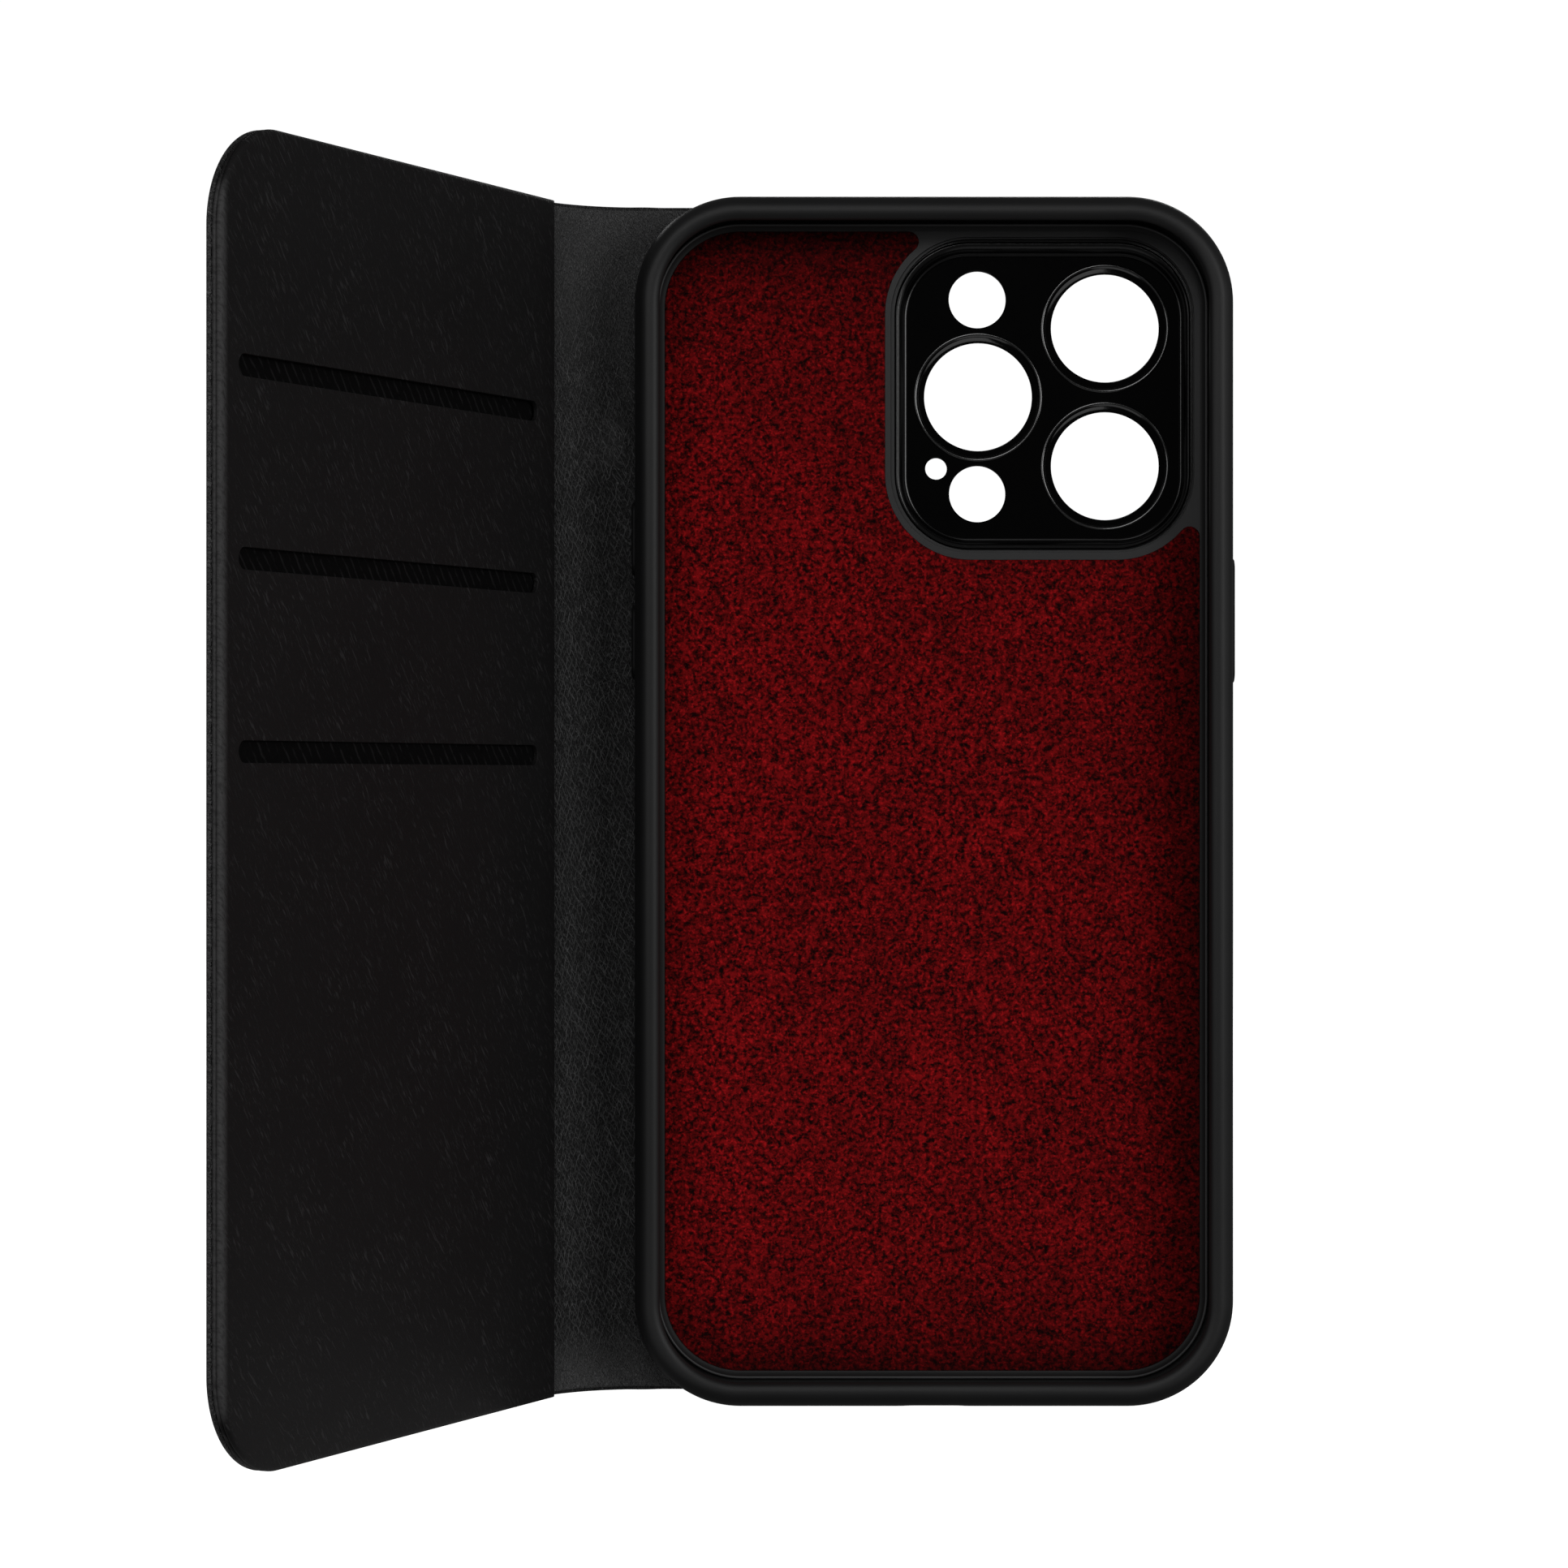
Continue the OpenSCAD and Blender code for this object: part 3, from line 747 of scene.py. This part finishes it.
edge = [(0.42, 0.0), (0.16, 0.05), (0.04, 0.16), (0.0, 0.30), (0.03, 0.46), (0.12, 0.56), (0.22, 0.60), (0.13, 0.64), (0.04, 0.74), (0.0, 0.90), (0.05, 1.08), (0.17, 1.24), (0.36, 1.35), (0.62, 1.395), (0.9, 1.4), (1.6, 1.4)]
panel = d_plate("pocket_panel_leather", [(1.6, 0.75), (1.6, 0.0)] + edge)
slit_mid, slit_l, slit_h = (5.2 + 78.5) / 2, 73.3, 2.7
tools = []
for i in range(3):
    zc = HALF - 28.0 - slit_h / 2 - i * 23.3
    rings = []
    for n, g in [(-1.0, 0.0), (1.30, 0.0), (1.35, 0.012), (1.385, 0.04), (1.40, 0.09), (2.4, 0.09 + 1.0)]:
        o = stadium(slit_l + 2 * g, slit_h + 2 * g, 0, 0, 20)
        rings.append(sheet_point(ARC_L + slit_mid + o[:, 0], n, zc + o[:, 1]))
    tools.append(loft("slit", rings))
boolean(panel, tools)
dress(grain(smooth(panel, 40, True)), mat_panel)
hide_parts("pocket_panel")


# ---------------------------------------------------------------- fabric card pockets
def pocket(i, name):
    zc = HALF - 28.0 - slit_h / 2 - i * 23.3
    depth = min(86.0, zc + HALF - 3.5)
    n0 = 0.28 + 0.15 * i
    us = np.concatenate([np.linspace(-slit_l / 2 - 1, -30, 12), np.linspace(-30, 30, 61)[1:], np.linspace(30, slit_l / 2 + 1, 12)[1:]])
    zs = np.concatenate([np.linspace(4, -4, 17), np.linspace(-4, -depth, 60)[1:]])
    verts, faces, idx = [], [], {}
    for side in (0, 1):
        for a, z in enumerate(zs):
            for b, u in enumerate(us):
                if z < -4.0001 and abs(u) > 30.0001:
                    continue
                idx[side, a, b] = len(verts)
                edge_d = min(4 - z, slit_l / 2 + 1 - abs(u)) if z >= -4.0001 else 30 - abs(u)
                soft = 0.012 * math.sin(u * 0.9 + i) * math.cos(z * 0.55)
                n = n0 + (0.10 if side else 0.0) - (0.03 if side and edge_d < 0.3 else 0.0) + (soft if side else 0)
                verts.append(sheet_point(ARC_L + slit_mid + u, n, zc + z))
    for side in (0, 1):
        for a in range(len(zs) - 1):
            for b in range(len(us) - 1):
                q = [idx.get((side, a, b)), idx.get((side, a, b + 1)), idx.get((side, a + 1, b + 1)), idx.get((side, a + 1, b))]
                if None not in q:
                    faces.append(q if side else q[::-1])
    used = {}
    for f in faces:
        for k in range(4):
            e = (f[k], f[(k + 1) % 4])
            used[frozenset(e)] = used.get(frozenset(e), 0) + 1
    back = {v: k for k, v in idx.items()}
    top = [e for e, c in used.items() if c == 1 and all(back[v][0] == 1 for v in e)]
    for e in top:
        p, q = tuple(e)
        faces.append((p, q, idx[(0, *back[q][1:])], idx[(0, *back[p][1:])]))
    ob = build(name, np.array(verts), faces)
    dress(grain(smooth(ob, 50)), mat_fabric)
    return ob


pockets = []
for i, n in enumerate(["card_pocket_top", "card_pocket_middle", "card_pocket_bottom"]):
    ob = pocket(i, n + "_fabric")
    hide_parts(n)
    pockets.append(ob)

# ---------------------------------------------------------------- tray
profile = [(2.6, 0.1)]
profile += [(1.7 * (1 - math.sin(math.radians(a))), 0.1 + 2.9 * (1 - math.cos(math.radians(a)))) for a in range(0, 91, 9)]
profile += [(0, 8.2)]
profile += [(2.05 * (1 - math.cos(math.radians(a))), 8.2 + 2.9 * math.sin(math.radians(a))) for a in range(9, 91, 9)]
profile += [(2.35, 11.09), (2.62, 11.04), (2.9, 10.94), (3.12, 10.80), (3.30, 10.60), (3.41, 10.38), (3.45, 10.15), (3.41, 9.95), (3.30, 9.82), (3.12, 9.75), (2.9, 9.75), (2.15, 9.75), (2.0, 9.6), (2.0, 6.8), (2.0, 4.2), (2.0, 2.2), (2.12, 1.85), (2.4, 1.72), (2.75, 1.72), (2.84, 1.85), (2.87, 2.34), (2.91, 2.47), (2.98, 2.54), (3.08, 2.56), (3.17, 2.52), (3.24, 2.43), (3.42, 2.18), (3.64, 1.98), (3.78, 1.92)]
profile += [(3.9, 1.9), (3.9, 1.4), (2.6, 1.4)]


def tray_ring(i, d, nc=28, ns=14):
    o = rr(TW - 2 * i, TH - 2 * i, max(TR - i, 0.3), 0, 0, nc, ns)
    return case(o[:, 0], o[:, 1], d)


bumper = loft("soft_bumper", [tray_ring(i, d) for i, d in profile], closed=True)


def wall_cut(name, outline, side, depth_out, depth_in, flare, mouth):
    """Cutter through a side wall. outline(g) gives (along, d) points grown by g. side is right, left or bottom."""
    rings = []
    steps = [(depth_out, flare), (0.02, flare), (-flare * 0.6, flare * 0.28), (-flare * 1.1, 0.0), (-depth_in, 0.0)]
    for t, g in steps:
        o = outline(g)
        if side == "right":
            rings.append(case(TW / 2 + t, o[:, 0], o[:, 1]))
        elif side == "left":
            rings.append(case(-TW / 2 - t, o[:, 0], o[:, 1]))
        else:
            rings.append(case(o[:, 0], -TH / 2 - t, o[:, 1]))
    return loft(name, rings)


def slot_outline(l, h, along, d):
    return lambda g: stadium(l + 2 * g, h + 2 * g, along, d, 16)


BTN = {"power_button": ("right", 17.1, 24.7, 0.4, "power_key"), "volume_up_button": ("left", 10.0, 35.9, 0.5, "volume_up_key"), "volume_down_button": ("left", 10.0, 21.8, 0.5, "volume_down_key")}
tools = []
for n, (side, l, z, proud, body) in BTN.items():
    tools.append(wall_cut(n, slot_outline(l + 0.2, 3.4, z, 5.8), side, 1.5, 2.4, 0.22, 0))
    rings = []
    for t in (-1.05, -2.5):
        o = stadium(l + 1.8, 5.0, z, 5.8, 16)
        rings.append(case((TW / 2 + t) * (1 if side == "right" else -1), o[:, 0], o[:, 1]))
    tools.append(loft("flange", rings))
tools.append(wall_cut("switch", slot_outline(8, 5.2, 50.5, 5.8), "left", 1.5, 2.8, 0.3, 0))
tools.append(wall_cut("port", slot_outline(12, 6.8, 0, 5.9), "bottom", 1.5, 2.9, 0.35, 0))
for s in (-1, 1):
    tools.append(wall_cut("speaker", slot_outline(13, 2.4, 18.5 * s, 5.9), "bottom", 1.5, 2.9, 0.25, 0))
k = []
for d in (9.6, 10.2):
    k.append(case(np.array([37.85, 39.45, 39.45, 37.85]), np.array([-46, -46, -4, -4]), d))
tools.append(loft("keeper_seat", k))
boolean(bumper, tools)
grain(smooth(bumper, 35, True), "case")
co = np.empty(len(bumper.data.vertices) * 3)
bumper.data.vertices.foreach_get("co", co)
co = co.reshape(-1, 3)
qx = np.abs(co[:, 0] * 1000 - TX) - (TW / 2 - TR)
qz = np.abs(co[:, 2] * 1000 - TZ) - (TH / 2 - TR)
inset = TR - np.hypot(np.maximum(qx, 0), np.maximum(qz, 0)) - np.minimum(np.maximum(qx, qz), 0)
depth = BY - co[:, 1] * 1000
at = bumper.data.attributes.new("inside", "FLOAT", "POINT")
# at 1 this mask also paints the inner wall under the lip and the lip's inner face darker, as painted shade
dull = np.where((inset > 1.9) & (depth < 9.9), 1.0, 0.0)
dull = np.where((inset > 3.36) & (depth > 9.0) & (depth < 10.5), 1.0, dull)
dull = np.where((inset > 2.86) & (depth > 2.4) & (depth < 4), 0.1, dull)
dull = np.where((inset > 3.3) & (depth < 2.4), 0.45, dull)
at.data.foreach_set("value", dull.astype(np.float32))
# painted highlight: the small ridge inside the lip is painted lighter where it would catch the light
at = bumper.data.attributes.new("bead", "FLOAT", "POINT")
at.data.foreach_set("value", ((inset > 2.89) & (inset < 3.2) & (depth > 2.45) & (depth < 4)).astype(np.float32))
dress(bumper, mat_bumper)
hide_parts("bumper_frame")

# ---------------------------------------------------------------- lining and camera well
FX, FZH, FR = TW / 2 - 3.9, TH / 2 - 3.9, TR - 3.9           # bay floor outline
CX, CZ = 15.4, 56.1
BR = 11.8                                                     # band corner radius
BL, BB, BRT, BT = CX - 21.9, CZ - 22.8, CX + 21.9, CZ + 22.8  # band outline
TIP = 1.4


def arc_pts(cx, cz, r, a0, a1, n):
    return [(cx + r * math.cos(math.radians(a0 + (a1 - a0) * k / n)), cz + r * math.sin(math.radians(a0 + (a1 - a0) * k / n))) for k in range(n + 1)]


c1 = (BL + BR, BT - BR)                                       # band's top left corner centre
tz1 = FZH - TIP
tx1 = c1[0] - math.sqrt((BR + TIP) ** 2 - (tz1 - c1[1]) ** 2)
c2 = (BRT - BR, BB + BR)                                      # band's bottom right corner centre
tx2 = FX - TIP
tz2 = c2[1] - math.sqrt((BR + TIP) ** 2 - (tx2 - c2[0]) ** 2)
ang1 = math.degrees(math.atan2(tz1 - c1[1], tx1 - c1[0]))
ang2 = math.degrees(math.atan2(tz2 - c2[1], tx2 - c2[0]))


def band_line(i):
    """The lining's edge along the band, from the right-hand tip round to the top tip, inset into the lining by i."""
    p = arc_pts(tx2, tz2, TIP - i, 0, 180 + ang2 if ang2 < 0 else ang2 - 180, 12)
    p += arc_pts(c2[0], c2[1], BR + i, ang2, -90, 24)[1:]
    p += arc_pts(c1[0], BB + BR, BR + i, -90, -180, 24)
    p += arc_pts(c1[0], c1[1], BR + i, 180, ang1, 24)
    p += arc_pts(tx1, tz1, TIP - i, ang1 - 180, 90, 12)[1:]
    return p


def lining_outline(i):
    p = band_line(i)
    p += arc_pts(-FX + FR, FZH - FR, FR - i, 90, 180, 24)
    p += arc_pts(-FX + FR, -FZH + FR, FR - i, 180, 270, 24)
    p += arc_pts(FX - FR, -FZH + FR, FR - i, 270, 360, 24)
    return np.array(p)


def lining_ring(i, d):
    o = lining_outline(i)
    return case(o[:, 0], o[:, 1], d)


lining = loft("suede_lining", [lining_ring(i, d) for i, d in [(0.0, 1.4), (0.0, 1.72), (0.03, 1.80), (0.09, 1.865), (0.18, 1.893), (0.30, 1.9)]], caps=True)
# a fine regular mesh over the face
bm = bmesh.new()
bm.from_mesh(lining.data)
for axis, lo_v, hi_v, count in ((0, -FX, FX, 30), (2, -FZH, FZH, 62)):
    for v in np.linspace(lo_v, hi_v, count + 1)[1:-1]:
        co = case(v, 0, 0) if axis == 0 else case(0, v, 0)
        no = (1, 0, 0) if axis == 0 else (0, 0, 1)
        bmesh.ops.bisect_plane(bm, geom=bm.verts[:] + bm.edges[:] + bm.faces[:], plane_co=tuple(co), plane_no=no, dist=1e-7)
bm.to_mesh(lining.data)
bm.free()
grain(smooth(lining, 50), "case")
co = np.empty(len(lining.data.vertices) * 3)
lining.data.vertices.foreach_get("co", co)
co = co.reshape(-1, 3)
px, pz = co[:, 0] * 1000 - TX, co[:, 2] * 1000 - TZ
outline = lining_outline(0)
seg_a, seg_b = outline, np.roll(outline, -1, 0)
P = np.stack([px, pz], -1)
best = np.full(len(P), 1e9)
for a, b in zip(seg_a, seg_b):
    ab = b - a
    t = np.clip(((P - a) @ ab) / max(ab @ ab, 1e-12), 0, 1)
    best = np.minimum(best, np.hypot(*(P - (a + t[:, None] * ab)).T))
# painted shade: the lining is painted darker towards its edges, where the tray's walls shade it, most along the top,
# then the bottom and the right; and painted light makes it a little lighter along the left
shade = (1 - 0.22 * np.exp(-best / 3.0)) * (0.86 + 0.14 * np.exp(-(px + FX) / 14.0))
shade *= 1 - 0.85 * np.exp(-(FZH - pz) / 12.0)
shade *= 1 - 0.64 * np.exp(-(pz + FZH) / 8.0)
shade *= 1 - 0.54 * np.exp(-(FX - px) / 8.0)
ed = lining.data.attributes.new("edge_shade", "FLOAT", "POINT")
ed.data.foreach_set("value", shade.astype(np.float32))
dress(lining, mat_suede)
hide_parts("microfibre_lining")

# band: the flat frame round the camera, flush with the lining
outer_band = band_line(0)[::-1]
# order: from the top tip down the band's left side to the right-hand tip, then up the right side and back along the top
flange = np.array(outer_band + arc_pts(FX - FR, FZH - FR, FR, 0, 90, 24))
bezel = loft("camera_bezel_flange", [case(flange[:, 0], flange[:, 1], d) for d in (1.4, 1.885)])
body = loft("bezel_body", [case(*rr(41.2 - 2 * g, 43.0 - 2 * g, 10.5 - g, CX, CZ).T, d) for g, d in [(0.3, -1.8), (0.06, -1.72), (0, -1.55), (0, 1.5)]])
boolean(bezel, [body], "UNION")


def well(f, d):
    """Ring of the camera well: f is 0 at the band and 1 at the plate."""
    o = rr(41.5 - 4.0 * f, 43.1 - 4.3 * f, 10.6 - 2.1 * f, 15.2 + 0.2 * f, 56.05 - 0.25 * f, 30)
    return case(o[:, 0], o[:, 1], d)


ridge = [(-0.09, 3.0), (-0.09, 1.9), (-0.08, 1.86), (-0.065, 1.70), (-0.06, 1.1), (-0.05, 0.7), (0.15, 0.7), (0.17, 1.1), (0.19, 1.42), (0.22, 1.60), (0.27, 1.68), (0.33, 1.70), (0.40, 1.64), (0.50, 1.48), (0.59, 1.26), (0.67, 0.98), (0.74, 0.66), (0.785, 0.40),
         (0.81, 0.31), (0.84, 0.275), (0.88, 0.26), (0.915, 0.225), (0.94, 0.16), (0.955, 0.06), (0.965, -0.1), (0.97, -0.25)]
bezel = boolean(bezel, [loft("well", [well(f, d) for f, d in ridge])])
seat = loft("seat", [case(*rr(39.3 + 2 * g, 40.6 + 2 * g, 9.4 + g, CX, CZ - 0.3).T, d) for d, g in [(-3.0, 0.35), (-1.8, 0.25), (-1.55, 0.0), (-0.2, 0.0)]])
bezel = boolean(bezel, [seat])
grain(smooth(bezel, 32, True), "case")
co = np.empty(len(bezel.data.vertices) * 3)
bezel.data.vertices.foreach_get("co", co)
co = co.reshape(-1, 3)
qx = np.abs(co[:, 0] * 1000 - TX - 15.2) - (20.75 - 10.6)
qz = np.abs(co[:, 2] * 1000 - TZ - 56.05) - (21.55 - 10.6)
inset = 10.6 - np.hypot(np.maximum(qx, 0), np.maximum(qz, 0)) - np.minimum(np.maximum(qx, qz), 0)
at = bezel.data.attributes.new("inside", "FLOAT", "POINT")
at.data.foreach_set("value", ((inset > -0.14) & (BY - co[:, 1] * 1000 < 1.8)).astype(np.float32))
dress(bezel, mat_shell)
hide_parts("camera_bezel")

# plate with its holes, and the three lens collars
lenses = [(6.4, 55.9), (23.95, 65.4), (23.95, 46.35)]
small = [(6.3, 69.4, 3.95), (6.3, 42.5, 3.9), (0.6, 46.0, 1.5)]
plate = loft("camera_plate_gloss", [case(*rr(39.2 - 2 * g, 40.5 - 2 * g, 9.35 - g, CX, CZ - 0.3).T, d) for g, d in [(0.25, -1.3), (0, -1.15), (0, -0.35), (0.12, -0.2)]])


def hole(x, z, r, c, n=72):
    rings = []
    for d, g in [(0.8, c), (-0.2, c), (-0.2 - c * 0.8, 0.0), (-1.3 + c * 0.8, 0.0), (-1.3, c), (-2.2, c)]:
        a = np.radians(np.arange(n) * 360 / n)
        rings.append(case(x + (r + g) * np.cos(a), z + (r + g) * np.sin(a), d))
    return loft("hole", rings)


boolean(plate, [hole(x, z, 8.9, 0.0001, 96) for x, z in lenses] + [hole(x, z, r, 0.16) for x, z, r in small])
ledge = [(7.95, -1.18), (7.45, -0.36), (7.46, -0.325), (7.48, -0.31), (7.51, -0.30), (7.56, -0.30), (8.24, -0.30), (8.28, -0.31), (8.28, -1.2), (8.2, -1.3), (8.0, -1.3)]
collar = [(8.26, -1.25), (8.26, -0.32), (8.28, -0.28), (8.33, -0.23), (8.48, -0.09), (8.55, -0.035), (8.62, 0.0), (8.70, 0.015), (8.78, 0.0), (8.85, -0.04), (8.91, -0.10), (8.945, -0.18), (8.95, -0.26), (8.95, -1.20), (8.8, -1.3), (8.3, -1.3)]
rings_ob = [lathe("collar", collar, p) for p in lenses]
plate = join([plate] + [smooth(lathe("ledge", ledge, p), 30) for p in lenses])
smooth(plate, 30, True)
dress(grain(plate, "case"), mat_gloss)
collars = join(rings_ob)
collars.name = "lens_collars"
dress(grain(smooth(collars, 28, True), "case"), mat_collar)
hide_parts("camera_plate")
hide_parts("camera_plate")

# ---------------------------------------------------------------- buttons
buttons = []
for n, (side, l, z, proud, body) in BTN.items():
    sgn = 1 if side == "right" else -1
    rings = []
    steps = [(-1.7, 0.8), (-1.15, 0.8), (-1.1, 0.74), (-1.1, 0.0), (proud - 0.30, 0.0), (proud - 0.20, -0.03), (proud - 0.10, -0.10), (proud - 0.03, -0.22), (proud, -0.42), (proud, -0.8)]
    for t, g in steps:
        o = stadium(l + 2 * g, 3.2 + 2 * g, z, 5.8, 20)
        rings.append(case(sgn * (TW / 2 + t), o[:, 0], o[:, 1]))
    ob = loft(n + "_cap", rings)
    dress(grain(smooth(ob, 40, True), "case"), mat_key)
    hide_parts(n)
    buttons.append((ob, body))

# ---------------------------------------------------------------- bodies
for ob in (bumper, lining, bezel, plate, collars):
    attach(ob, "phone_case")
for ob, body in buttons:
    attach(ob, body)
for ob in [panel] + pockets:
    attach(ob, "front_cover")
A0, A1 = sheet_point(-2.2, -0.4, 0), sheet_point(2.2, -0.4, 0)
B0, B1 = sheet_point(ARC_L - 2.2, -0.4, 0), sheet_point(ARC_L + 2.2, -0.4, 0)
for ob in (outer_a, lining_a):
    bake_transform(ob)
for ob in (outer_b, lining_b):
    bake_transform(ob)

# ---------------------------------------------------------------- stage
scene = bpy.context.scene
scene.view_settings.view_transform = "Standard"
scene.view_settings.look = "None"

world = bpy.data.worlds.new("studio")
scene.world = world
world.use_nodes = True
wt = world.node_tree
bg = next(n for n in wt.nodes if n.type == "BACKGROUND")
out = next(n for n in wt.nodes if n.type == "OUTPUT_WORLD")
bg.inputs["Color"].default_value = (1, 1, 1, 1)
bg.inputs["Strength"].default_value = 0.09
white = wt.nodes.new("ShaderNodeBackground")
white.inputs["Color"].default_value = (1, 1, 1, 1)
white.inputs["Strength"].default_value = 1.05
lp = wt.nodes.new("ShaderNodeLightPath")
mx = wt.nodes.new("ShaderNodeMixShader")
wt.links.new(lp.outputs["Is Camera Ray"], mx.inputs[0])
wt.links.new(bg.outputs[0], mx.inputs[1])
wt.links.new(white.outputs[0], mx.inputs[2])
wt.links.new(mx.outputs[0], out.inputs["Surface"])

fm = bpy.data.materials.new("pale_floor")
fm.use_nodes = True
fb = next(n for n in fm.node_tree.nodes if n.type == "BSDF_PRINCIPLED")
fn = fm.node_tree.nodes.new("ShaderNodeTexNoise")
fn.inputs["Scale"].default_value = 3.0
fr = fm.node_tree.nodes.new("ShaderNodeMapRange")
fr.inputs["To Min"].default_value = 0.88
fr.inputs["To Max"].default_value = 0.9
fc = fm.node_tree.nodes.new("ShaderNodeCombineColor")
fm.node_tree.links.new(fn.outputs["Fac"], fr.inputs["Value"])
for ch in ("Red", "Green", "Blue"):
    fm.node_tree.links.new(fr.outputs["Result"], fc.inputs[ch])
fm.node_tree.links.new(fc.outputs["Color"], fb.inputs["Base Color"])
fb.inputs["Roughness"].default_value = 0.9
fb.inputs["Specular IOR Level"].default_value = 0.0
fb.inputs["Emission Color"].default_value = (1, 1, 1, 1)
fb.inputs["Emission Strength"].default_value = 1.0
seg = 96
fl = build("floor", [(0.02 + 1.6 * math.cos(2 * math.pi * k / seg), 0.1 + 1.6 * math.sin(2 * math.pi * k / seg), -0.00005) for k in range(seg)], [tuple(range(seg))])
fl.data.materials.append(fm)
fl.visible_glossy = False
fl.visible_diffuse = False
fl.visible_transmission = False


def softbox(name, at, size, power, aim=(0.0, 0.03, 0.085), size_y=None, color=(1, 1, 1)):
    d = bpy.data.lights.new(name, "AREA")
    d.shape = "RECTANGLE"
    d.size = size
    d.size_y = size_y or size
    d.energy = power
    d.color = color
    ob = bpy.data.objects.new(name, d)
    scene.collection.objects.link(ob)
    ob.location = at
    ob.rotation_mode = "QUATERNION"
    ob.rotation_quaternion = (Vector(aim) - Vector(at)).to_track_quat("-Z", "Y")
    return ob


softbox("main_right", (0.74, -0.80, 0.30), 0.5, 2.7)
softbox("top_front", (-0.02, -1.02, 0.50), 0.30, 1.1)
softbox("top_high", (-0.05, -0.80, 0.82), 0.4, 0.5)
softbox("left_front", (-0.46, -0.92, 0.30), 0.4, 0.9)
softbox("left_edge", (-0.92, -0.66, 0.16), 0.36, 0.32)
softbox("far_right", (0.95, -0.12, 0.20), 0.5, 0.45)
for x in (-0.55, 0.22):
    softbox("behind", (x, 1.05, 0.55), 0.4, 1.6).visible_camera = False
bounce = softbox("table_bounce", (-0.005, -0.008, 0.0006), 0.2, 0.008, aim=(-0.005, -0.008, 1.0), size_y=0.06)
bounce.visible_camera = False

cam_data = bpy.data.cameras.new("camera")
cam_data.lens = 97.83
cam_data.sensor_width = 36
cam_data.sensor_fit = "HORIZONTAL"
cam_data.clip_start, cam_data.clip_end = 0.01, 20
cam = bpy.data.objects.new("camera", cam_data)
scene.collection.objects.link(cam)
cam.location = (0.00355, -0.5500, 0.08481)
cam.rotation_euler = (math.radians(90), 0, 0)
scene.camera = cam
